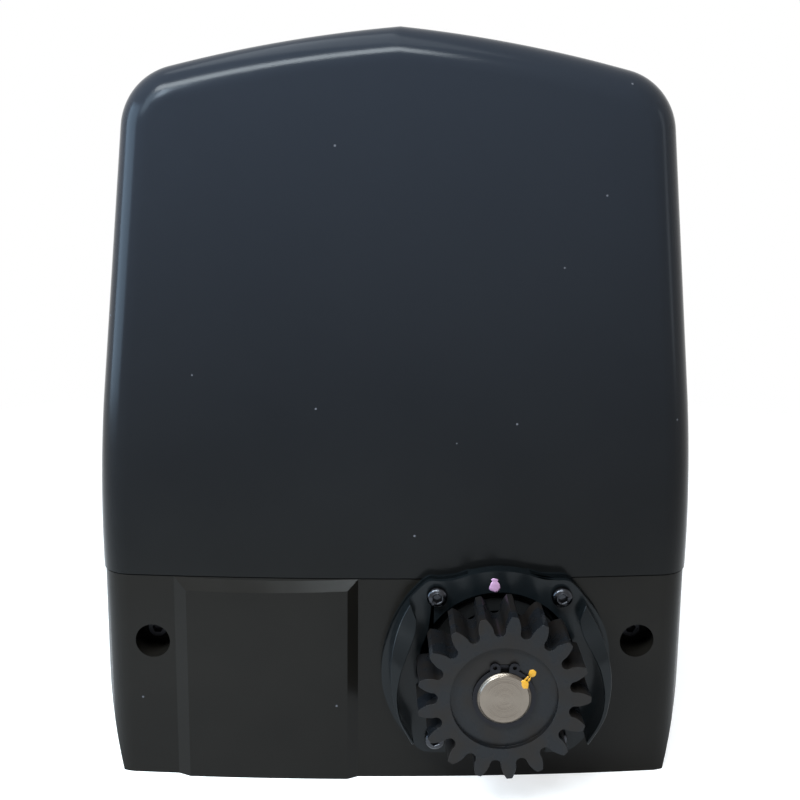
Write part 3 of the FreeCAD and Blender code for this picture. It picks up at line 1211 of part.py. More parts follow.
blocks = []
for start, ways in ((14, 4), (44, 8), (98, 8), (152, 5)):
    block = on_board(start, 3, ways * 5.08 + 1, 11, 13)
    for i in range(ways):
        block = block.cut(bar(1.7, Vector(board_left + start + 3 + i * 5.08, face_y + 14, S.board_bottom + 10), Vector(0, -1, 0), 5))
        block = block.cut(slab(board_left + start + 1.4 + i * 5.08, board_left + start + 4.6 + i * 5.08, face_y + 3,
                               face_y + 9, S.board_bottom + 2, S.board_bottom + 7))
    blocks.append(block)
node("terminal_blocks", feature("terminal_rows", Part.makeCompound(blocks)))
node("relays", feature("relay_row", Part.makeCompound([on_board(18 + i * 24, 34, 20, 16, 15.5) for i in range(3)])))
node("fuse_holders", feature("fuse_pair", Part.makeCompound([on_board(100 + i * 30, 36, 24, 9, 9) for i in range(2)])))
chips = [on_board(88, 70, 12, 12, 2.4), on_board(120, 66, 16, 8, 3), on_board(60, 96, 26, 10, 6), on_board(150, 96, 9, 26, 4)]
chips += [bar(5, Vector(board_left + 24 + i * 14, face_y, S.board_bottom + 66), ALONG_Y, 16) for i in range(3)]
node("board_components", feature("board_component_set", Part.makeCompound(chips)))
node("receiver_module", feature("receiver_card", on_board(104, 92, 34, 36, 1.6).fuse(on_board(110, 98, 12, 12, 8))))
sensor_face = S.sensor_setback - S.half_depth
sensor = slab(-66, -30, sensor_face, sensor_face + 2.5, deck_top, deck_top + 46)
sensor = sensor.fuse(slab(-66, -30, sensor_face, sensor_face + 12, deck_top, deck_top + 2))
node("limit_sensor_bracket", feature("sensor_bracket", sensor))
head = slab(-58, -38, sensor_face - 5, sensor_face, deck_top + 22, deck_top + 42)
node("limit_sensor", feature("sensor_head", head))


# ---- release gear ---------------------------------------------------------------------------
rod_z = S.gear_z
fork_y = (groove_from + groove_to) / 2
fork_thick = groove_to - groove_from - 2 * S.seat_gap
window_half = S.crank_pin_dia / 2 + S.seat_gap
pin_in = S.crank_throw * math.cos(math.radians(45))
eye_centre_y = pivot_y - pin_in
plate_thick = 5.0
window_left = pivot_x - S.crank_throw - window_half
window_right = pivot_x - pin_in + window_half
rod_end = eye_centre_y - window_half - 1.5
rod = bar(S.rod_dia / 2, Vector(rod_x, fork_y - 4, rod_z), ALONG_Y, rod_end - fork_y + 4)
eye = slab(window_left - 3, window_right + 3, eye_centre_y - window_half - 3, eye_centre_y + window_half + 3,
           rod_z - plate_thick / 2, rod_z + plate_thick / 2)
eye = eye.cut(slab(window_left, window_right, eye_centre_y - window_half, eye_centre_y + window_half, rod_z - 9, rod_z + 9))
node("release_rod", feature("release_rod_steel", rod.fuse(eye)))

ring_in, ring_out = dog_out - 4.5 + S.seat_gap, dog_out + 4
fork = bar(ring_out, gear_axis + ALONG_Y * (fork_y - fork_thick / 2), ALONG_Y, fork_thick)
fork = fork.cut(bar(ring_in, gear_axis + ALONG_Y * (fork_y - 5), ALONG_Y, 10))
fork = fork.common(slab(S.gear_x + 2, S.gear_x + 60, -60, 60, 0, 200))
lug = bar(S.rod_dia / 2 + 3.5, Vector(rod_x, fork_y - fork_thick / 2, rod_z), ALONG_Y, fork_thick)
fork = fork.fuse(lug).cut(bar(S.rod_dia / 2 + 0.01, Vector(rod_x, -50, rod_z), ALONG_Y, 90))
fork = fork.cut(bar(ring_in, gear_axis + ALONG_Y * (fork_y - 5), ALONG_Y, 10))
node("shift_fork", feature("shift_fork_plate", fork))

heel = bar(S.lever_thick, Vector(pivot_x, pivot_y, lever_low), ALONG_Z, S.lever_width)
plate = slab(S.lever_tip_x, pivot_x, pivot_y + 2, S.half_depth + 5, lever_low, lever_high)
tips = [edge for edge in plate.Edges if abs(edge.CenterOfMass.x - S.lever_tip_x) < 0.1 and abs(edge.tangentAt(0).y) > 0.9]
plate = plate.makeFillet(5.0, tips).common(plan_prism(S.base_inset, 0, 100))
lever = heel.fuse(plate)
lever = lever.cut(slab(pivot_x - 14, pivot_x + 14, pivot_y - 14, pivot_y + 8, rod_z - 4.2, rod_z + 4.2))
crank_half = 9.0
crank_spot = Vector(pivot_x - pin_in, pivot_y - pin_in, rod_z - crank_half)
lever = lever.cut(bar(S.crank_pin_dia / 2, crank_spot, ALONG_Z, 2 * crank_half))
for low in (lever_low - 1, lever_high - stub_reach):
    lever = lever.cut(bar(stub_dia / 2 + S.run_fit, Vector(pivot_x, pivot_y, low), ALONG_Z, stub_reach + 1))
lever = lever.cut(bar(S.lock_dia / 2 + S.run_fit, Vector(S.lock_x, 0, S.gear_z), ALONG_Y, 200))
grip = slab(22, 66, back_at_pivot - 2.2, S.half_depth + 5, lever_low + 6, lever_high - 6)
lever = lever.cut(grip.makeFillet(3, [edge for edge in grip.Edges if abs(edge.tangentAt(0).y) > 0.9]))
flap_pivot_z = S.gear_z + S.lock_dia / 2 + 3.6
flap_y = S.half_depth - S.base_inset + S.seat_gap
rivet_root = flap_y - 9.5
lever = lever.cut(bar(1.5, Vector(S.lock_x, rivet_root - 1, flap_pivot_z), ALONG_Y, 20))
node("release_lever", feature("release_lever_arm", lever.removeSplitter()))
node("crank_pin", feature("crank_pin_steel", bar(S.crank_pin_dia / 2 - 0.01, crank_spot, ALONG_Z, 2 * crank_half)))
stubs = [bar(stub_dia / 2 - 0.01, Vector(pivot_x, pivot_y, low), ALONG_Z, recess_wall + S.lever_gap + stub_reach - 0.3)
         for low in (recess_low - recess_wall, recess_high - S.lever_gap - stub_reach + 0.3)]
node("lever_pivot_pins", feature("lever_pivot_pin_pair", Part.makeCompound(stubs)))

# lock cylinder, with its bolt behind the lever
lock_face = S.half_depth - S.base_inset - 0.6
lock = bar(S.lock_dia / 2, Vector(S.lock_x, pivot_y + 0.6, S.gear_z), ALONG_Y, lock_face - pivot_y - 0.6)
bolt_reach = recess_high - S.gear_z + 2.5
bolt = slab(S.lock_x - 3, S.lock_x + bolt_reach, recess_back + 0.8, recess_back + 4.2, S.gear_z - 3, S.gear_z + 3)
bolt = bolt.fuse(bar(5, Vector(S.lock_x, recess_back + 0.8, S.gear_z), ALONG_Y, pivot_y - recess_back))
key_way = slab(S.lock_x - 0.9, S.lock_x + 0.9, lock_face - 7, lock_face + 1, S.gear_z - 4, S.gear_z + 4)
node("lock_cylinder", feature("lock_barrel", lock.fuse(bolt).cut(key_way)))

# dust flap over the keyhole
flap = bar(10.0, Vector(S.lock_x, flap_y, S.gear_z - 0.5), ALONG_Y, 1.6)
flap = flap.fuse([bar(4.2, Vector(S.lock_x, flap_y, flap_pivot_z), ALONG_Y, 1.6),
                  slab(S.lock_x - 4.2, S.lock_x + 4.2, flap_y, flap_y + 1.6, S.gear_z, flap_pivot_z)])
flap = flap.cut(bar(1.5 + S.run_fit, Vector(S.lock_x, flap_y - 1, flap_pivot_z), ALONG_Y, 5))
node("lock_flap", feature("lock_flap_plate", flap.removeSplitter()))
rivet = bar(1.49, Vector(S.lock_x, rivet_root, flap_pivot_z), ALONG_Y, flap_y + 1.8 - rivet_root)
rivet = rivet.fuse(bar(2.8, Vector(S.lock_x, flap_y + 1.7, flap_pivot_z), ALONG_Y, 1.0))
node("flap_rivet", feature("flap_rivet_steel", rivet))


# ---- check and write ------------------------------------------------------------------------
doc.recompute()
for thing in doc.Objects:
    if "Invalid" in thing.State or "Error" in thing.State:
        raise RuntimeError("failed: " + thing.Label)
for thing in NODES:
    if thing.Shape.isNull() or not thing.Shape.isValid() or not thing.Shape.Solids:
        raise RuntimeError("bad shape: " + thing.Label)
    thing.Shape.exportStep("parts/%s.step" % thing.Label)
    print("%-24s %3d solids %12.1f mm3" % (thing.Label, len(thing.Shape.Solids), thing.Shape.Volume))
print(len(NODES), "nodes")
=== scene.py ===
import json
import math
import random

import bmesh
import bpy
from mathutils import Matrix, Vector
from mathutils.kdtree import KDTree


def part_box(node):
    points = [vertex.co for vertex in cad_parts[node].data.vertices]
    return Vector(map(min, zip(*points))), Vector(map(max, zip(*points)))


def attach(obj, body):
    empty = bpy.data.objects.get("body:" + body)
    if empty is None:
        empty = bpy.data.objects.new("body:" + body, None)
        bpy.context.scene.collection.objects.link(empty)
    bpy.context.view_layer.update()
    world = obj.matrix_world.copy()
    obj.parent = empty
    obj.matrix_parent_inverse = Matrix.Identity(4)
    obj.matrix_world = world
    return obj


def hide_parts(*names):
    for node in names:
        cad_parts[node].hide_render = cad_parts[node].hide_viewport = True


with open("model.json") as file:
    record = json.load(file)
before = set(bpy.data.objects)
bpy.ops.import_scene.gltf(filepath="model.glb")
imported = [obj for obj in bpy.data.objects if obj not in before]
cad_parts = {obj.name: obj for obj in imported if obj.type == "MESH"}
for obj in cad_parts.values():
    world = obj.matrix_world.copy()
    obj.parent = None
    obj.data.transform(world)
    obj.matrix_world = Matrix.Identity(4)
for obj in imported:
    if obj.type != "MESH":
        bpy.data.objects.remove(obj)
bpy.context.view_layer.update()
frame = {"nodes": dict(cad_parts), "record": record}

# Sliding gate motor, dressed over its working parts.  Metres, +Z up, the pinion faces -Y.

record = frame["record"]

MM = 0.001
BASE_LIP = 4.3 * MM  # the base reaches this far above the seam, inside the hood


def middle(node):
    low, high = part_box(node)
    return (low + high) / 2


gear_x, gear_z = middle("output_shaft").x, middle("output_shaft").z
gear_axis = (gear_x, 0, gear_z)
shaft_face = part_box("output_shaft")[0].y
seam_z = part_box("base_housing")[1].z - BASE_LIP
hood_low, hood_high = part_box("hood")


# ---- node trees -----------------------------------------------------------------------------

class Tree:
    """A material's node tree, with short calls for the nodes that the finishes share."""

    def __init__(self, name):
        self.material = bpy.data.materials.new(name)
        self.material.use_nodes = True
        self.nodes = self.material.node_tree.nodes
        self.links = self.material.node_tree.links
        self.shader = self.nodes["Principled BSDF"]
        self.place = self.add("ShaderNodeTexCoord").outputs["Object"]

    def add(self, kind, settings=None, **inputs):
        node = self.nodes.new(kind)
        for key, value in (settings or {}).items():
            setattr(node, key, value)
        for key, value in inputs.items():
            self.feed(node.inputs[key.replace("_", " ")], value)
        return node

    def feed(self, socket, value):
        if isinstance(value, bpy.types.NodeSocket):
            self.links.new(value, socket)
        else:
            socket.default_value = value

    def moved(self, centre=(0, 0, 0), turn=(0, 0, 0), scale=(1, 1, 1)):
        """The object's own coordinates, measured from centre."""
        shift = self.add("ShaderNodeMapping", Vector=self.place, Location=-Vector(centre))
        return self.add("ShaderNodeMapping", Vector=shift.outputs[0], Rotation=turn, Scale=scale).outputs[0]

    def along(self, axis):
        """Place along one of the object's own axes, X, Y or Z."""
        return self.add("ShaderNodeSeparateXYZ", Vector=self.place).outputs[axis]

    def from_gear_axis(self):
        """Distance from the gear's axis, which runs along Y."""
        place = self.moved(gear_axis, scale=(1, 0, 1))
        return self.add("ShaderNodeVectorMath", {"operation": "LENGTH"}, Vector=place).outputs["Value"]

    def noise(self, scale, detail=2.0, roughness=0.5):
        return self.add("ShaderNodeTexNoise", Vector=self.place, Scale=scale, Detail=detail,
                        Roughness=roughness).outputs["Fac"]

    def rings(self, distance, scale, detail):
        """Noise that changes with distance alone."""
        return self.add("ShaderNodeTexNoise", {"noise_dimensions": "1D"}, W=distance, Scale=scale,
                        Detail=detail).outputs["Fac"]

    def dots(self, scale, randomness, radius, share):
        """Scattered dots: their radius in cells, and the share of the cells that hold one."""
        cells = self.add("ShaderNodeTexVoronoi", {"feature": "F1"}, Vector=self.place, Scale=scale,
                         Randomness=randomness)
        near = self.maths("LESS_THAN", cells.outputs["Distance"], radius)
        lot = self.add("ShaderNodeSeparateColor", Color=cells.outputs["Color"]).outputs[0]
        return self.maths("MULTIPLY", near, self.maths("GREATER_THAN", lot, 1.0 - share))

    def ramp(self, value, low, high, out_low=0.0, out_high=1.0):
        """value's span from low to high, brought to the span out_low to out_high and held there."""
        node = self.add("ShaderNodeMapRange", Value=value)
        for key, number in (("From Min", low), ("From Max", high), ("To Min", out_low), ("To Max", out_high)):
            node.inputs[key].default_value = number
        return node.outputs[0]

    def blend(self, factor, first, second):
        """A mix of two colours; a Mix node's sockets 6, 7 and 2 are the ones for colour."""
        node = self.add("ShaderNodeMix", {"data_type": "RGBA"})
        self.feed(node.inputs["Factor"], factor)
        self.feed(node.inputs[6], first)
        self.feed(node.inputs[7], second)
        return node.outputs[2]

    def maths(self, kind, first, second=0.5):
        node = self.add("ShaderNodeMath", {"operation": kind})
        for socket, value in zip(node.inputs, (first, second)):
            self.feed(socket, value)
        return node.outputs[0]

    def bump(self, height, strength, distance, under=None):
        """A normal raised by height, laid over the normal under."""
        node = self.add("ShaderNodeBump", Height=height, Strength=strength, Distance=distance)
        if under is not None:
            self.feed(node.inputs["Normal"], under)
        return node.outputs[0]

    def finish(self, colour, roughness, normal=None, **constants):
        """The material, with constants set on the shader's own sockets."""
        self.feed(self.shader.inputs["Base Color"], colour)
        self.feed(self.shader.inputs["Roughness"], roughness)
        if normal is not None:
            self.feed(self.shader.inputs["Normal"], normal)
        for key, value in constants.items():
            self.shader.inputs[key.replace("_", " ")].default_value = value
        return self.material


def shade(colour, factor):
    """The colour made darker or lighter, with full opacity."""
    return (*[channel * factor for channel in colour[:3]], 1.0)


def moulded_plastic(name, colour, roughness, specular, grain=1.0, dust=0.0, painted_sheen=None):
    """Injection-moulded plastic from a spark-textured tool, with faint flow clouds.

    dust is the share of the surface's cells with a pale speck.  The sheen argument is a painted sheen: a
    paler colour that stands in for the light on the upper part, and the heights from which and to which it
    turns to that.
    """
    tree = Tree(name)
    clouds = tree.noise(14.0, 3.0, 0.6)
    tone = tree.blend(tree.ramp(clouds, 0.3, 0.7), shade(colour, 0.82), shade(colour, 1.18))
    if painted_sheen:
        sheen_colour, sheen_foot, sheen_top = painted_sheen
        # painted sheen: the colour turns paler towards the top, standing in for the light that falls on the
        # upper part
        tone = tree.blend(tree.ramp(tree.along("Z"), sheen_foot, sheen_top), tone, shade(sheen_colour, 1.0))
    pores = tree.noise(2600.0, 1.0)
    waves = tree.noise(60.0, 2.0)
    normal = tree.bump(pores, 0.35 * grain, 0.00012)
    normal = tree.bump(waves, 0.05, 0.0006, normal)
    rough = tree.ramp(tree.noise(30.0, 4.0, 0.65), 0.3, 0.7, roughness - 0.02, roughness + 0.025)
    if dust:
        speck = tree.dots(110.0, 1.0, 0.055, dust)
        tone = tree.blend(speck, tone, (0.09, 0.09, 0.1, 1))
        rough = tree.maths("MAXIMUM", rough, tree.maths("MULTIPLY", speck, 0.8))
    return tree.finish(tone, rough, normal, Specular_IOR_Level=specular)


def machined_steel(name, colour, roughness, ring_pitch, ring_depth, film=(0, 0, 0), film_share=0.0,
                   metallic=1.0, specular=0.5):
    """Metal turned about the gear's axis: fine rings on its faces, and an oily film in clouds."""
    tree = Tree(name)
    ring = tree.rings(tree.from_gear_axis(), 1.0 / ring_pitch, 3.0)
    stain = tree.ramp(tree.noise(70.0, 3.0, 0.6), 0.42, 0.62)
    tone = tree.blend(ring, shade(colour, 0.85), shade(colour, 1.15))
    if film_share:
        tone = tree.blend(tree.maths("MULTIPLY", stain, film_share), tone, (*film, 1))
    rough = tree.ramp(stain, 0, 1, roughness + 0.05, roughness - 0.05)
    normal = tree.bump(ring, 0.6, ring_depth)
    normal = tree.bump(tree.noise(900.0, 2.0), 0.15, 0.0001, normal)
    return tree.finish(tone, rough, normal, Metallic=metallic, Specular_IOR_Level=specular)


def shaft_steel(name, colour, face, bright_to, dark_from):
    """A bright turned end face, and sides much darker from a little way behind it."""
    tree = Tree(name)
    ring = tree.rings(tree.from_gear_axis(), 3200.0, 2.0)
    behind = tree.ramp(tree.along("Y"), face + bright_to, face + dark_from)
    bright = tree.blend(tree.noise(160.0, 3.0, 0.6), shade(colour, 0.85), shade(colour, 1.15))
    tone = tree.blend(behind, bright, shade(colour, 0.12))
    normal = tree.bump(ring, 1.0, 0.00011)
    return tree.finish(tone, tree.ramp(behind, 0, 1, 0.22, 0.4), normal, Metallic=1.0)


def plated_steel(name, colour, roughness):
    """Steel under a thin plating or oxide, with cloudy patina."""
    tree = Tree(name)
    patina = tree.noise(160.0, 3.0, 0.6)
    tone = tree.blend(patina, shade(colour, 0.75), shade(colour, 1.2))
    normal = tree.bump(tree.noise(1400.0, 1.0), 0.2, 0.00008)
    rough = tree.ramp(patina, 0.3, 0.7, roughness - 0.06, roughness + 0.08)
    return tree.finish(tone, rough, normal, Metallic=1.0)


def cast_metal(name, colour, black_to):
    """Die-cast alloy: a chalky skin with flow marks, black and not metal in front of the given depth."""
    tree = Tree(name)
    flow = tree.noise(45.0, 4.0, 0.7)
    tone = tree.blend(flow, shade(colour, 0.72), shade(colour, 1.12))
    bare = tree.maths("GREATER_THAN", tree.along("Y"), black_to)
    tone = tree.blend(bare, (0.006, 0.006, 0.006, 1), tone)
    tree.feed(tree.shader.inputs["Metallic"], bare)
    normal = tree.bump(tree.noise(700.0, 3.0, 0.7), 0.4, 0.0002)
    return tree.finish(tone, tree.ramp(flow, 0.2, 0.8, 0.42, 0.6), normal, Specular_IOR_Level=0.15)


def stacked_sheets(name, colour, pitch, axis):
    """Punched steel sheets seen on edge, axis the way they are stacked."""
    tree = Tree(name)
    step = tree.maths("FRACT", tree.maths("DIVIDE", tree.along(axis), pitch))
    line = tree.ramp(tree.maths("ABSOLUTE", tree.maths("SUBTRACT", step, 0.5)), 0.3, 0.5)
    rust = tree.noise(220.0, 3.0, 0.6)
    tone = tree.blend(rust, shade(colour, 0.6), shade(colour, 1.2))
    tone = tree.blend(line, tone, shade(colour, 0.25))
    normal = tree.bump(line, -0.5, pitch * 0.4)
    return tree.finish(tone, 0.5, normal, Metallic=0.85)


def enamelled_wire(name, colour, centre, pitch):
    """Windings about the Z axis through centre: strands side by side under varnish."""
    tree = Tree(name)
    place = tree.moved(centre)
    bands = tree.add("ShaderNodeTexWave", {"wave_type": "BANDS", "bands_direction": "Z"}, Vector=place,
                     Scale=0.314 / pitch, Distortion=1.2, Detail=2.0, Detail_Scale=1.5)
    tone = tree.blend(bands.outputs["Fac"], shade(colour, 0.45), shade(colour, 1.15))
    normal = tree.bump(bands.outputs["Fac"], 0.7, pitch * 0.5)
    return tree.finish(tone, 0.32, normal, Metallic=0.7, Coat_Weight=0.35, Coat_Roughness=0.2)


def moulded_rubber(name, colour):
    """Matt rubber with a chalky bloom."""
    tree = Tree(name)
    bloom = tree.noise(60.0, 4.0, 0.7)
    tone = tree.blend(bloom, shade(colour, 0.8), shade(colour, 1.5))
    normal = tree.bump(tree.noise(1800.0, 2.0), 0.3, 0.0001)
    return tree.finish(tone, tree.ramp(bloom, 0.2, 0.8, 0.62, 0.8), normal, Specular_IOR_Level=0.3)


def circuit_board(name, colour):
    """Solder mask with paler tracks under it and solder pads on it, in the board's own plane."""
    tree = Tree(name)
    tracks = tree.add("ShaderNodeTexBrick", {"offset": 0.37, "offset_frequency": 3},
                      Vector=tree.moved(turn=(math.pi / 2, 0, 0)), Scale=42.0, Mortar_Size=0.045,
                      Mortar_Smooth=0.05, Brick_Width=0.9, Row_Height=0.22)
    tone = tree.blend(tracks.outputs["Fac"], colour, shade(colour, 1.9))
    tone = tree.blend(tree.dots(260.0, 0.35, 0.2, 0.28), tone, (0.55, 0.53, 0.48, 1))
    return tree.finish(tone, 0.35, tree.bump(tracks.outputs["Fac"], 0.3, 0.00005))


def daub(name, colour):
    """Marker paint put on by hand: it covers unevenly."""
    tree = Tree(name)
    thin = tree.noise(900.0, 3.0, 0.6)
    tone = tree.blend(thin, shade(colour, 0.7), shade(colour, 1.15))
    return tree.finish(tone, tree.ramp(thin, 0.3, 0.7, 0.35, 0.55), tree.bump(thin, 0.4, 0.0002))


NECK_BLACK_TO = -75 * MM  # the gear case is black in front of this depth, on the neck that shows
motor_axis = middle("worm_shaft")

FINISHES = {
    # the hood's paler, bluer colour towards its top is painted sheen
    "housing_plastic": moulded_plastic("hood_plastic", (0.0042, 0.0043, 0.0043), 0.16, 0.1, grain=0.35,
                                       dust=0.12, painted_sheen=((0.0130, 0.0158, 0.0212), seam_z, hood_high.z)),
    "base_plastic": moulded_plastic("base_plastic", (0.0064, 0.0056, 0.0046), 0.2, 0.1, grain=0.5, dust=0.03),
    "guard_plastic": moulded_plastic("guard_plastic", (0.004, 0.0052, 0.006), 0.17, 0.15, grain=0.3),
    "gear_steel": machined_steel("blackened_gear_steel", (0.0076, 0.0062, 0.0054), 0.3, 0.0009, 0.00003,
                                 film=(0.0045, 0.0065, 0.009), film_share=0.6, metallic=0.0, specular=0.17),
    "turned_steel": shaft_steel("turned_shaft_steel", (0.15, 0.127, 0.105), shaft_face, 0.7 * MM, 1.2 * MM),
    "spring_steel": plated_steel("phosphated_spring_steel", (0.016, 0.016, 0.018), 0.3),
    "fastener_steel": plated_steel("black_fastener_steel", (0.035, 0.036, 0.04), 0.22),
    "zinc_steel": plated_steel("bright_zinc_steel", (0.6, 0.61, 0.64), 0.26),
    "cast_alloy": cast_metal("cast_aluminium", (0.5, 0.51, 0.52), NECK_BLACK_TO),
    "bronze": machined_steel("wheel_bronze", (0.55, 0.33, 0.12), 0.3, 0.0009, 0.00004),
    "lamination": stacked_sheets("core_sheets", (0.23, 0.22, 0.21), 0.7 * MM, "Z"),
    "copper_winding": enamelled_wire("copper_winding", (0.55, 0.2, 0.07), (motor_axis.x, motor_axis.y, 0),
                                     0.9 * MM),
    "bearing_steel": machined_steel("bearing_steel", (0.6, 0.6, 0.61), 0.2, 0.0006, 0.00002),
    "rubber_black": moulded_rubber("moulded_rubber", (0.012, 0.012, 0.012)),
    "deck_plastic": moulded_plastic("deck_plastic", (0.045, 0.046, 0.048), 0.5, 0.4),
    "board_green": circuit_board("solder_mask", (0.012, 0.075, 0.03, 1)),
    "terminal_green": moulded_plastic("terminal_plastic", (0.02, 0.2, 0.06), 0.38, 0.5, grain=0.6),
    "relay_black": moulded_plastic("relay_plastic", (0.02, 0.02, 0.022), 0.32, 0.5, grain=0.5),
    "capacitor_shell": moulded_plastic("capacitor_shell", (0.62, 0.62, 0.6), 0.34, 0.5, grain=0.4),
    "lever_plastic": moulded_plastic("lever_plastic", (0.05, 0.052, 0.055), 0.42, 0.4),
}
YELLOW = daub("yellow_marker", (0.54, 0.26, 0.008))
PINK = daub("pink_marker", (0.42, 0.235, 0.37))


# ---- dressing the working parts --------------------------------------------------------------

# how far each piece's crisp edges are broken, in metres; what isn't named gets PLAIN_BREAK
EDGE_BREAK = {"hood": 0.0005, "base_housing": 0.0004, "pinion": 0.00055, "output_shaft": 0.0,
              "hood_screws": 0.00015, "release_lever": 0.0006, "lock_flap": 0.0003}
PLAIN_BREAK = 0.0002
# nodes whose finish isn't that of their slot
# the hood screws take the dark spring steel partly for their black oxide and partly as painted shade, to stay
# black down in their wells; the key takes it to show black between the ring's lugs
OTHER_FINISH = {"pinion_key": "spring_steel", "hood_screws": "spring_steel"}
# the slope, in degrees, from which an edge is shown crisp; what isn't named gets PLAIN_CRISP
CRISP_FROM = {"base_housing": 14}
PLAIN_CRISP = 28
# nodes that are made again further down instead of dressed
REBUILT = ("pinion_guard", "guard_screws")

bodies = {name: body for body, names in record["behaviour"]["bodies"].items() for name in names}
slots = {entry["node"]: entry["material_slot"] for entry in record["subparts"]}


def clean_copy(node):
    """A CAD node's shape as one merged mesh with whole faces, its round surfaces smooth."""
    mesh = frame["nodes"][node].data.copy()
    piece = bpy.data.objects.new(node + "_finished", mesh)
    bpy.context.collection.objects.link(piece)
    work = bmesh.new()
    work.from_mesh(mesh)
    bmesh.ops.remove_doubles(work, verts=work.verts, dist=1e-6)
    bmesh.ops.dissolve_degenerate(work, edges=work.edges, dist=1e-7)
    crisp = math.radians(CRISP_FROM.get(node, PLAIN_CRISP))
    for face in work.faces:
        face.smooth = True
    for edge in work.edges:
        edge.smooth = edge.is_manifold and edge.calc_face_angle(0.0) < crisp
    work.to_mesh(mesh)
    work.free()
    return piece


def break_edges(piece, width, segments, angle):
    """Rounds the piece's edges that turn by more than angle, in degrees."""
    rounding = piece.modifiers.new("edge_break", "BEVEL")
    rounding.width = width
    rounding.segments = segments
    rounding.limit_method = "ANGLE"
    rounding.angle_limit = math.radians(angle)
    rounding.harden_normals = True
    rounding.use_clamp_overlap = True


def applied(piece):
    """The piece with its modifiers made part of its mesh."""
    made = bpy.data.meshes.new_from_object(piece.evaluated_get(bpy.context.evaluated_depsgraph_get()))
    piece.modifiers.clear()
    piece.data = made
    return piece


def dressed(node):
    """A CAD node's finished piece, which rides its body in the node's place."""
    piece = clean_copy(node)
    width = EDGE_BREAK.get(node, PLAIN_BREAK)
    if width:
        break_edges(piece, width, 2, 35)
    even = piece.modifiers.new("even_shading", "WEIGHTED_NORMAL")
    even.keep_sharp = True
    applied(piece)
    piece.data.materials.clear()
    piece.data.materials.append(FINISHES[OTHER_FINISH.get(node, slots[node])])
    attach(piece, bodies[node])
    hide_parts(node)
    return piece


finished = {node: dressed(node) for node in slots if node not in REBUILT}


# ---- the hood's true curvature ---------------------------------------------------------------

# the hood's own sizes, in mm
SIDE_RADIUS = 695.0             # of the side's curve
SIDE_START = 117.0              # height at which the side stands upright
SIDE_END = 184.0                # height at which its curve turns into a straight lean
ROOF_RADIUS = 650.0             # of each half of the roof
ROOF_SLOPE = math.radians(5.4)  # of each half at the ridge
ROOF_CORNER = 29.0              # radius between side and roof
EDGE_ROUND = 15.0               # radius round the front and the back face
FACE_BOW = 7.0                  # how far a face stands out at its middle
FACE_DRAFT = 4.0                # how far a face leans in between DRAFT_FOOT and DRAFT_TOP
DRAFT_FOOT, DRAFT_TOP = 89.7, 364.1
SKIN_SLACK = 0.12               # how far off the rounded edge's unit circle a point of the outer skin may be
HALF_WIDTH, HALF_DEPTH, ROOF_PEAK = hood_high.x / MM, -hood_low.y / MM, hood_high.z / MM
BOW_RADIUS = (HALF_WIDTH ** 2 + FACE_BOW ** 2) / (2 * FACE_BOW)


def hood_outline():
    """Right half of the hood's front view: points in mm, each with its outward direction."""
    side_centre = Vector((HALF_WIDTH - SIDE_RADIUS, SIDE_START))
    below_peak = Vector((math.sin(ROOF_SLOPE), math.cos(ROOF_SLOPE))) * ROOF_RADIUS
    roof_centre = Vector((0, ROOF_PEAK)) - below_peak
    lean = math.asin((SIDE_END - SIDE_START) / SIDE_RADIUS)
    out, rise = Vector((math.cos(lean), math.sin(lean))), Vector((-math.sin(lean), math.cos(lean)))
    shoulder = side_centre + out * SIDE_RADIUS
    back = shoulder - out * ROOF_CORNER - roof_centre
    along = back.dot(rise)
    reach = -along + math.sqrt(along ** 2 - back.dot(back) + (ROOF_RADIUS - ROOF_CORNER) ** 2)
    corner = shoulder - out * ROOF_CORNER + rise * reach
    turned = math.atan2(*reversed(corner - roof_centre))
    foot = math.asin((seam_z / MM - SIDE_START) / SIDE_RADIUS)
    ridge = math.pi / 2 - ROOF_SLOPE

    def arc(centre, radius, start, end, steps):
        angles = (start + (end - start) * i / steps for i in range(steps + 1))
        directions = [Vector((math.cos(angle), math.sin(angle))) for angle in angles]
        return [(centre + direction * radius, direction) for direction in directions]

    straight_steps = 130
    return (arc(side_centre, SIDE_RADIUS, foot, lean, 90)
            + [(shoulder + rise * reach * i / straight_steps, out) for i in range(1, straight_steps)]
            + arc(corner, ROOF_CORNER, lean, turned, 60)
            + arc(roof_centre, ROOF_RADIUS, turned, ridge, 140))


def skin_direction(place, point, out):
    """Where the hood's outer skin looks at a place in mm, or None off that skin.

    point is the outline's nearest point, and out its direction there.
    """
    x, y, z = place
    inward = (point - Vector((x, z))).dot(out)
    side = min(max(1 - inward / EDGE_ROUND, 0), 1)
    centre = point.x - EDGE_ROUND * out.x if side else x
    bow = BOW_RADIUS - math.sqrt(BOW_RADIUS ** 2 - centre ** 2)
    draft = FACE_DRAFT / (DRAFT_TOP - DRAFT_FOOT)
    face = HALF_DEPTH - bow - draft * (z - DRAFT_FOOT)
    front = min(max((abs(y) - face) / EDGE_ROUND + 1, 0), 1.02)
    if abs(side ** 2 + front ** 2 - 1) >= SKIN_SLACK:
        return None
    flat = Vector((x / math.sqrt(BOW_RADIUS ** 2 - x ** 2), math.copysign(1, y), draft)).normalized()
    return (side * Vector((out.x, 0, out.y)) + front * flat).normalized()


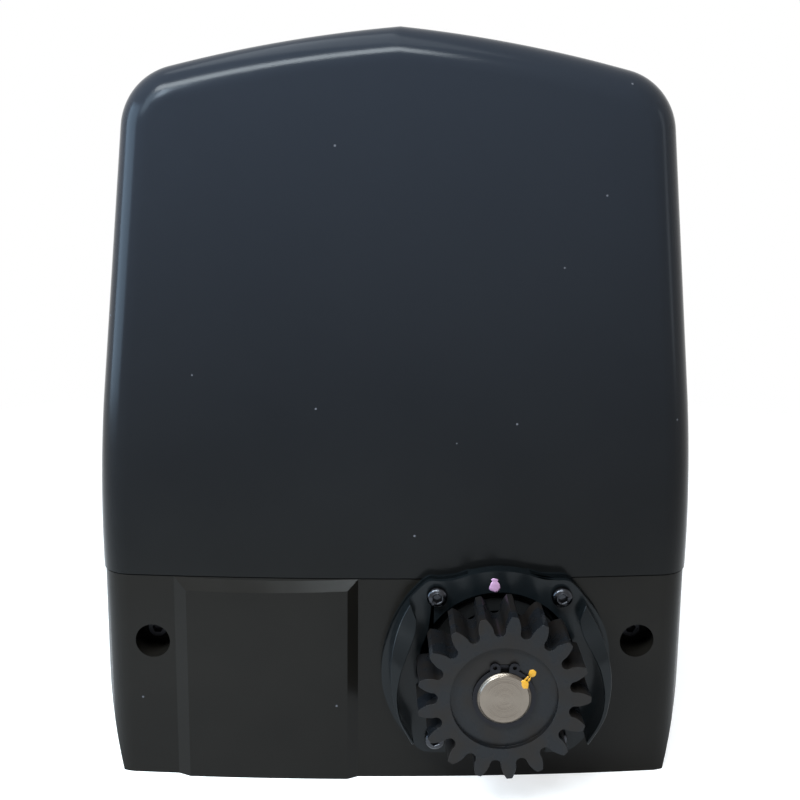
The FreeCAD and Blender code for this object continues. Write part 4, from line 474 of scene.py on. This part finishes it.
def true_normals(piece):
    """Gives the hood's outer skin the directions of its real curves in place of its facets'."""
    outline = hood_outline()
    outline += [(Vector((-point.x, point.y)), Vector((-out.x, out.y))) for point, out in outline]
    tree = KDTree(len(outline))
    for i, (point, out) in enumerate(outline):
        tree.insert((point.x, 0, point.y), i)
    tree.balance()
    mesh = piece.data
    wanted = []
    for vertex in mesh.vertices:
        place = vertex.co / MM
        wanted.append(skin_direction(place, *outline[tree.find((place.x, 0, place.z))[1]]))
    near = math.cos(math.radians(35))  # a facet turned further away than this belongs to another surface
    normals = [corner.vector.copy() for corner in mesh.corner_normals]
    for face in mesh.polygons:
        for loop in face.loop_indices:
            direction = wanted[mesh.loops[loop].vertex_index]
            if direction is not None and direction.dot(face.normal) > near:
                normals[loop] = direction
    mesh.normals_split_custom_set(normals)


true_normals(finished["hood"])


# ---- guard round the pinion ------------------------------------------------------------------

def placed(name, work, finish):
    """A closed mesh made an object, smooth but for its crisp edges."""
    mesh = bpy.data.meshes.new(name)
    bmesh.ops.recalc_face_normals(work, faces=work.faces)
    for face in work.faces:
        face.smooth = True
    for edge in work.edges:
        edge.smooth = edge.calc_face_angle(0.0) < math.radians(PLAIN_CRISP)
    work.to_mesh(mesh)
    work.free()
    mesh.materials.append(finish)
    piece = bpy.data.objects.new(name, mesh)
    bpy.context.collection.objects.link(piece)
    return piece


def eased(points, steps):
    """A smooth line through the points, ends kept."""
    last = len(points) - 1
    line = []
    for i in range(last):
        around = (max(i - 1, 0), i, i + 1, min(i + 2, last))
        before, start, end, after = (Vector(points[k]) for k in around)
        square = 2 * before - 5 * start + 4 * end - after
        cube = 3 * start - before - 3 * end + after
        for step in range(steps):
            t = step / steps
            line.append(0.5 * (2 * start + (end - before) * t + square * t ** 2 + cube * t ** 3))
    return line + [Vector(points[-1])]


def skinned(outlines):
    """A closed mesh over outlines of as many points each, capped at both ends."""
    work = bmesh.new()
    loops = [[work.verts.new(point) for point in outline] for outline in outlines]
    work.faces.new(loops[0])
    work.faces.new(loops[-1])
    for first, second in zip(loops, loops[1:]):
        for i in range(len(first)):
            j = (i + 1) % len(first)
            work.faces.new((first[i], first[j], second[j], second[i]))
    return work


def walled(name, outlines, finish, rounding):
    """A solid skinned over the outlines, its edges rounded."""
    work = skinned(outlines)
    bmesh.ops.triangulate(work, faces=[face for face in work.faces if len(face.verts) > 4])
    piece = placed(name, work, finish)
    break_edges(piece, rounding, 3, 40)
    return applied(piece)


# sizes of the guard, in mm, with its outlines across and up from the gear's axis
FLANGE_FOOT = -42.4             # height of the flange's lower edge
FLANGE_BORE = 36.3              # radius of the opening round the pinion
FLANGE_GATE = 23.3              # half width of that opening where it leaves the flange below
FLANGE_EDGE = (
    (30, FLANGE_FOOT), (35, -41), (40.5, -36), (46, -27), (49.8, -16), (51.4, -4), (51.2, 7), (49.2, 17.4),
    (45.1, 26.1), (39.6, 33.2), (34.6, 39.3), (31.2, 41.8), (26, 42.2), (20.1, 42.5), (14.1, 44.3),
    (8.2, 45.7), (0.8, 46.4), (-5, 46.1), (-12.4, 44.8), (-19.7, 42.4), (-26.6, 41.5), (-32.1, 41.5),
    (-38, 36.2), (-43, 30), (-48.1, 20.5), (-51.8, 9.5), (-53.2, 0), (-52.6, -10), (-49.6, -20), (-45, -29),
    (-39.5, -36.6), (-34.5, -41.4), (-30, FLANGE_FOOT))
# each wing's outer and inner edge, from its top to its foot
WING_EDGES = {
    "left": (
        ((-40.6, 33.2), (-45.5, 24), (-48.3, 14.7), (-49.3, 3.9), (-48.3, -7.9), (-45.8, -18), (-39.2, -31)),
        ((-37.6, 26), (-38.6, 20.1), (-43.2, 8.5), (-45.4, -0.1), (-46.2, -9.5), (-44.2, -19.7),
         (-38.4, -30))),
    "right": (
        ((38.4, 32.6), (44.6, 22), (48.1, 12), (49.9, 1), (49.4, -10), (47, -20), (40.6, -31)),
        ((35.6, 26), (37.2, 19.5), (43.2, 8.5), (46, -0.1), (47.1, -9.5), (45.2, -19.7), (39.6, -30)))}
WING_FLARE = 1.015              # how much wider a wing is at its root
WING_SUNK = 1.5                 # how deep its root goes into the flange
SLOPE_FROM, SLOPE_HIGH = 8, 24  # height at which a wing starts to slope back, and over which it does
SLOPE_BACK = 9                  # how far it slopes back
FLANGE_ROUND, WING_ROUND = 2.0, 0.6
HOOD_GAP = 1.5                  # between the hood's face and the flange's back
ROOT_DROP = 0.6                 # from the seam down to the root's top
ROOT_BACK = 3.0                 # from the flange's front back to the root's
ROOT_SUNK = 0.75                # how deep the root goes into the base
SCREW_HEAD_RADIUS, SCREW_HEAD_HEIGHT = 4.7, 4.6
SCREW_KEY = 2.0                 # half across the flats of its socket
EAR_ACROSS, EAR_UP = 28.3, 34.8

guard_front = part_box("guard_screws")[0].y + SCREW_HEAD_HEIGHT * MM
wing_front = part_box("pinion_guard")[0].y


def face_at(x, inset):
    """Depth of the hood's bowed face, or of a surface inset behind it, at x."""
    return hood_low.y + inset + BOW_RADIUS * MM - math.sqrt((BOW_RADIUS * MM) ** 2 - x ** 2)


def collar(name, lowest, highest, front, inset):
    """The flange between two heights, from its front to a surface inset behind the hood's face."""
    steps = 72
    reach = math.acos(FLANGE_GATE / FLANGE_BORE)
    sweep = math.pi + 2 * reach
    turns = [math.pi + reach - sweep * i / steps for i in range(steps + 1)]
    bore = [Vector((FLANGE_BORE * math.cos(turn), FLANGE_BORE * math.sin(turn))) for turn in turns]
    gate = [Vector((side * FLANGE_GATE, FLANGE_FOOT)) for side in (-1, 1)]
    outline = eased(FLANGE_EDGE, 4) + [gate[0]] + bore + [gate[1]]
    flat = [(gear_x + point.x * MM, min(max(gear_z + point.y * MM, lowest), highest)) for point in outline]
    return walled(name, [[(x, front, z) for x, z in flat], [(x, face_at(x, inset), z) for x, z in flat]],
                  FINISHES["guard_plastic"], FLANGE_ROUND * MM)


def wing(side):
    """One shield beside the pinion, which slopes back at its top."""
    def front_at(up):
        share = min(max((up - SLOPE_FROM) / SLOPE_HIGH, 0), 1)
        return wing_front + SLOPE_BACK * MM * share * share * (3 - 2 * share)

    def at(point, depth, scale):
        return (gear_x + point.x * scale * MM, depth, gear_z + point.y * scale * MM)

    root = guard_front + WING_SUNK * MM
    sections = []
    for outer, inner in zip(*(eased(edge, 6) for edge in WING_EDGES[side])):
        sections.append([at(point, front_at(point.y), 1) for point in (outer, inner)]
                        + [at(point, root, WING_FLARE) for point in (inner, outer)])
    return walled("wing_" + side, sections, FINISHES["guard_plastic"], WING_ROUND * MM)


# the flange clears the hood, and below the seam its root stands on the base
whole_height = (0, hood_high.z)
root_height = (0, seam_z - ROOT_DROP * MM)
for part in (collar("flange", *whole_height, guard_front, -HOOD_GAP * MM),
             collar("root", *root_height, guard_front + ROOT_BACK * MM, ROOT_SUNK * MM),
             wing("left"), wing("right")):
    part.name = "pinion_guard_" + part.name
    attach(part, bodies["pinion_guard"])
    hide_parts("pinion_guard")


# ---- screws of the guard ---------------------------------------------------------------------

def socket_screw(name, head, high, key, finish):
    """A domed socket head that stands on its seat and looks along -Y.

    head is its radius, high its height and key half across the flats of its socket, in metres.
    """
    spokes = 48
    turns = [2 * math.pi * i / spokes for i in range(spokes)]

    def ring(radius, depth):
        return [(radius * math.cos(turn), depth, radius * math.sin(turn)) for turn in turns]

    def hexagon(half, depth):
        points = []
        for turn in turns:
            reach = half / math.cos((turn % (math.pi / 3)) - math.pi / 6)
            points.append((reach * math.cos(turn), depth, reach * math.sin(turn)))
        return points

    rounding = 0.42 * high
    slopes = [math.radians(step) for step in (0, 20, 40, 60, 80)]
    seat = [ring(head * 0.96, 0.0), ring(head, -0.3 * MM)]
    dome = [ring(head - rounding * (1 - math.cos(slope)), -0.52 * high - rounding * math.sin(slope))
            for slope in slopes]
    socket = [ring(key * 1.3, -high), hexagon(key * 1.06, -high * 0.99), hexagon(key * 0.94, -high * 0.93),
              hexagon(key * 0.94, -high * 0.4)]
    return placed(name, skinned(seat + dome + socket), finish)


def repeated(name, template, spots, finish, seed):
    """Copies of template at the spots, each turned by chance about Y, made by Geometry Nodes."""
    tree = bpy.data.node_groups.new(name + "_tree", "GeometryNodeTree")
    tree.interface.new_socket("Spots", in_out="INPUT", socket_type="NodeSocketGeometry")
    size = tree.interface.new_socket("Size", in_out="INPUT", socket_type="NodeSocketFloat")
    chance = tree.interface.new_socket("Seed", in_out="INPUT", socket_type="NodeSocketInt")
    tree.interface.new_socket("Pieces", in_out="OUTPUT", socket_type="NodeSocketGeometry")
    nodes, links = tree.nodes, tree.links
    entry, leave = nodes.new("NodeGroupInput"), nodes.new("NodeGroupOutput")
    shape = nodes.new("GeometryNodeObjectInfo")
    shape.inputs["Object"].default_value = template
    points = nodes.new("GeometryNodeMeshToPoints")
    turn = nodes.new("FunctionNodeRandomValue")
    turn.data_type = "FLOAT_VECTOR"
    lowest, highest = turn.inputs[0], turn.inputs[1]
    lowest.default_value = (0, 0, 0)
    highest.default_value = (0, math.tau, 0)
    copies = nodes.new("GeometryNodeInstanceOnPoints")
    real = nodes.new("GeometryNodeRealizeInstances")
    coat = nodes.new("GeometryNodeSetMaterial")
    coat.inputs["Material"].default_value = finish
    links.new(entry.outputs["Spots"], points.inputs["Mesh"])
    links.new(entry.outputs["Seed"], turn.inputs["Seed"])
    links.new(points.outputs[0], copies.inputs["Points"])
    links.new(shape.outputs["Geometry"], copies.inputs["Instance"])
    links.new(turn.outputs[0], copies.inputs["Rotation"])
    links.new(entry.outputs["Size"], copies.inputs["Scale"])
    links.new(copies.outputs[0], real.inputs[0])
    links.new(real.outputs[0], coat.inputs["Geometry"])
    links.new(coat.outputs[0], leave.inputs["Pieces"])
    seats = bpy.data.meshes.new(name)
    seats.from_pydata([tuple(spot) for spot in spots], [], [])
    piece = bpy.data.objects.new(name, seats)
    bpy.context.collection.objects.link(piece)
    made = piece.modifiers.new("repeat", "NODES")
    made.node_group = tree
    made[size.identifier] = 1.0
    made[chance.identifier] = seed
    applied(piece)
    bpy.data.objects.remove(template)
    piece.data.materials.clear()
    piece.data.materials.append(finish)
    return piece


ear_spots = [(gear_x + side * EAR_ACROSS * MM, guard_front, gear_z + up * EAR_UP * MM)
             for up in (1, -1) for side in (-1, 1)]
screw = socket_screw("screw", SCREW_HEAD_RADIUS * MM, SCREW_HEAD_HEIGHT * MM, SCREW_KEY * MM,
                     FINISHES["fastener_steel"])
screws = repeated("guard_screws_finished", screw, ear_spots, FINISHES["fastener_steel"], 11)
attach(screws, bodies["guard_screws"])
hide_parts("guard_screws")


# ---- marker paint left by the assembler ------------------------------------------------------

PAINT_THICK = 0.16 * MM
PAINT_SUNK = 0.1 * MM   # how deep the shaft's paint lies in its end, so that it hardly stands out past it
HUB_BEHIND = 1.55 * MM  # the hub's face, from the ring's front


def paint_dab(name, centre, half, turn, thick, seed, paint, body):
    """A thin lens of paint on a face that looks along -Y.

    half is its half width and half height, turn its slant in degrees.
    """
    rng = random.Random(seed)
    work = bmesh.new()
    spokes, rings = 28, 4
    wobble = [1 + rng.uniform(-0.16, 0.16) for _ in range(spokes)]
    wobble = [(wobble[i - 1] + wobble[i] + wobble[(i + 1) % spokes]) / 3 for i in range(spokes)]
    angles = [2 * math.pi * i / spokes for i in range(spokes)]
    top = work.verts.new((0, -thick, 0))
    loops = []
    for ring in range(1, rings + 1):
        share = ring / rings
        rise = thick * math.sqrt(max(0.0, 1 - share ** 2.4))
        loops.append([work.verts.new((half[0] * share * reach * math.cos(angle), -rise,
                                      half[1] * share * reach * math.sin(angle)))
                      for reach, angle in zip(wobble, angles)])
    under = [work.verts.new((v.co.x, thick * 0.5, v.co.z)) for v in loops[-1]]
    loops.append(under)
    for i in range(spokes):
        j = (i + 1) % spokes
        work.faces.new((top, loops[0][i], loops[0][j]))
        for inner, outer in zip(loops, loops[1:]):
            work.faces.new((inner[i], outer[i], outer[j], inner[j]))
    work.faces.new(under)
    bmesh.ops.recalc_face_normals(work, faces=work.faces)
    bmesh.ops.transform(work, verts=work.verts,
                        matrix=Matrix.Translation(centre) @ Matrix.Rotation(math.radians(turn), 4, "Y"))
    mesh = bpy.data.meshes.new(name)
    work.to_mesh(mesh)
    work.free()
    for face in mesh.polygons:
        face.use_smooth = True
    piece = bpy.data.objects.new(name, mesh)
    bpy.context.collection.objects.link(piece)
    mesh.materials.append(paint)
    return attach(piece, body)


ring_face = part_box("retaining_ring")[0].y
hub_face = ring_face + HUB_BEHIND
sunk_face = shaft_face + PAINT_SUNK
# name, place across and up from the gear's axis and half width and height, in mm, slant in degrees,
# the depth it lies at, its paint and its body
DABS = (("shaft_paint", (8.6, 7.0), (1.7, 2.3), -20, sunk_face, YELLOW, "output"),
        ("ring_paint", (9.5, 9.2), (0.5, 1.5), 40, ring_face, YELLOW, "output"),
        ("ring_paint_sliver", (10.6, 8.6), (0.4, 1.4), 30, ring_face, YELLOW, "output"),
        ("hub_paint", (12.2, 10.9), (1.8, 2.0), 20, hub_face, YELLOW, "output"),
        ("guard_paint", (-2.1, 39.2), (2.5, 2.8), 0, guard_front, PINK, "chassis"),
        ("guard_paint_drip", (-2.4, 42.2), (1.6, 0.8), 8, guard_front, PINK, "chassis"))
for seed, (label, (across, up), half, turn, face, paint, body) in enumerate(DABS):
    paint_dab(label, (gear_x + across * MM, face, gear_z + up * MM), [reach * MM for reach in half], turn,
              PAINT_THICK, seed, paint, body)


# ---- floor, light and camera -----------------------------------------------------------------

def area_light(name, place, target, size, power, colour):
    lamp = bpy.data.lights.new(name, "AREA")
    lamp.shape = "RECTANGLE"
    lamp.size, lamp.size_y = size
    lamp.energy = power
    lamp.color = colour
    holder = bpy.data.objects.new(name, lamp)
    holder.location = place
    holder.rotation_euler = (Vector(target) - Vector(place)).to_track_quat("-Z", "Y").to_euler()
    bpy.context.collection.objects.link(holder)


# name, place, what it looks at, width and height in metres, watts and colour
LAMPS = (("overhead_softbox", (-0.15, -0.1, 1.5), (0, 0, 0.2), (1.4, 0.5), 7, (0.85, 0.94, 1.0)),
         ("top_window", (-0.5, -1.1, 1.5), (-0.03, -0.1, 0.3), (1.7, 0.36), 66, (0.86, 0.95, 1.0)),
         ("key_softbox", (-0.5, -0.62, 0.72), (-0.07, -0.1, 0.27), (0.18, 0.18), 3.5, (0.7, 0.85, 1.0)),
         ("left_window", (-1.3, -0.15, 0.35), (0, -0.05, 0.2), (0.8, 0.9), 16, (0.5, 0.74, 1.0)),
         ("corner_window", (-1.15, -0.85, 0.9), (-0.1, -0.1, 0.3), (0.4, 0.55), 6, (0.62, 0.82, 1.0)),
         ("right_window", (1.25, -0.35, 0.4), (0, -0.05, 0.2), (0.2, 0.7), 0.9, (0.8, 0.9, 1.0)))
AMBIENT, AMBIENT_COLOUR = 0.14, (0.9, 0.95, 1.0, 1)
FLOOR_GREY, FLOOR_GLOW = 0.6, 0.7
FLOOR_RADIUS = 3.0
WHITE_FROM, WHITE_TO = 0.3, 0.75  # distances over which the floor turns as white as the backdrop

for lamp in LAMPS:
    area_light(*lamp)


def seen_rays(nodes, links):
    """1 for the rays that show the background: to the camera, in gloss and through glass."""
    path = nodes.new("ShaderNodeLightPath")
    total = path.outputs["Is Camera Ray"]
    for ray in ("Is Glossy Ray", "Is Transmission Ray"):
        most = nodes.new("ShaderNodeMath")
        most.operation = "MAXIMUM"
        links.new(total, most.inputs[0])
        links.new(path.outputs[ray], most.inputs[1])
        total = most.outputs[0]
    return total


def studio_world():
    """Dim light from all round, with a white backdrop for the rays that show it."""
    world = bpy.data.worlds.new("studio")
    world.use_nodes = True
    bpy.context.scene.world = world
    nodes, links = world.node_tree.nodes, world.node_tree.links
    ambient = nodes["Background"]
    ambient.inputs["Color"].default_value = AMBIENT_COLOUR
    ambient.inputs["Strength"].default_value = AMBIENT
    backdrop = nodes.new("ShaderNodeBackground")
    backdrop.inputs["Color"].default_value = (1, 1, 1, 1)
    chooser = nodes.new("ShaderNodeMixShader")
    links.new(seen_rays(nodes, links), chooser.inputs[0])
    links.new(ambient.outputs[0], chooser.inputs[1])
    links.new(backdrop.outputs[0], chooser.inputs[2])
    links.new(chooser.outputs[0], nodes["World Output"].inputs["Surface"])


def floor_finish():
    """A pale floor that keeps the shadow near the object and is as white as the backdrop further out."""
    pale = Tree("pale_floor")
    pale.finish((FLOOR_GREY, FLOOR_GREY, FLOOR_GREY, 1), 0.7, None, Specular_IOR_Level=0.05)
    seen = seen_rays(pale.nodes, pale.links)
    strength = pale.maths("MULTIPLY", seen, FLOOR_GLOW)
    glow = pale.add("ShaderNodeEmission", Color=(1, 1, 1, 1), Strength=strength)
    both = pale.add("ShaderNodeAddShader")
    pale.feed(both.inputs[0], pale.shader.outputs[0])
    pale.feed(both.inputs[1], glow.outputs[0])
    white = pale.add("ShaderNodeEmission", Color=(1, 1, 1, 1), Strength=1.0)
    reach = pale.add("ShaderNodeVectorMath", {"operation": "LENGTH"}, Vector=pale.place).outputs["Value"]
    fade = pale.maths("MULTIPLY", pale.ramp(reach, WHITE_FROM, WHITE_TO), seen)
    whole = pale.add("ShaderNodeMixShader")
    for socket, value in zip(whole.inputs, (fade, both.outputs[0], white.outputs[0])):
        pale.feed(socket, value)
    pale.feed(pale.nodes["Material Output"].inputs["Surface"], whole.outputs[0])
    return pale.material


def front_camera():
    """Turned to the right, tipped down and a little out of level."""
    yaw, pitch, roll = math.radians(1.33), math.radians(13.01), math.radians(-0.53)
    place = (-0.0132, -0.7049, 0.3230)
    ahead = Vector((math.sin(yaw) * math.cos(pitch), math.cos(yaw) * math.cos(pitch), -math.sin(pitch)))
    level = Vector((math.cos(yaw), -math.sin(yaw), 0))
    fall = ahead.cross(level)
    right = math.cos(roll) * level + math.sin(roll) * fall
    down = -math.sin(roll) * level + math.cos(roll) * fall
    lens = bpy.data.cameras.new("camera")
    lens.lens = 63.0
    lens.sensor_width = 36.0
    camera = bpy.data.objects.new("camera", lens)
    camera.matrix_world = Matrix.Translation(place) @ Matrix((right, -down, -ahead)).transposed().to_4x4()
    bpy.context.collection.objects.link(camera)
    return camera


studio_world()
floor_mesh = bpy.data.meshes.new("floor")
work = bmesh.new()
bmesh.ops.create_circle(work, cap_ends=True, radius=FLOOR_RADIUS, segments=96)
work.to_mesh(floor_mesh)
work.free()
floor_mesh.materials.append(floor_finish())
floor = bpy.data.objects.new("floor", floor_mesh)
bpy.context.collection.objects.link(floor)

bpy.context.scene.camera = front_camera()
bpy.context.scene.view_settings.view_transform = "Standard"
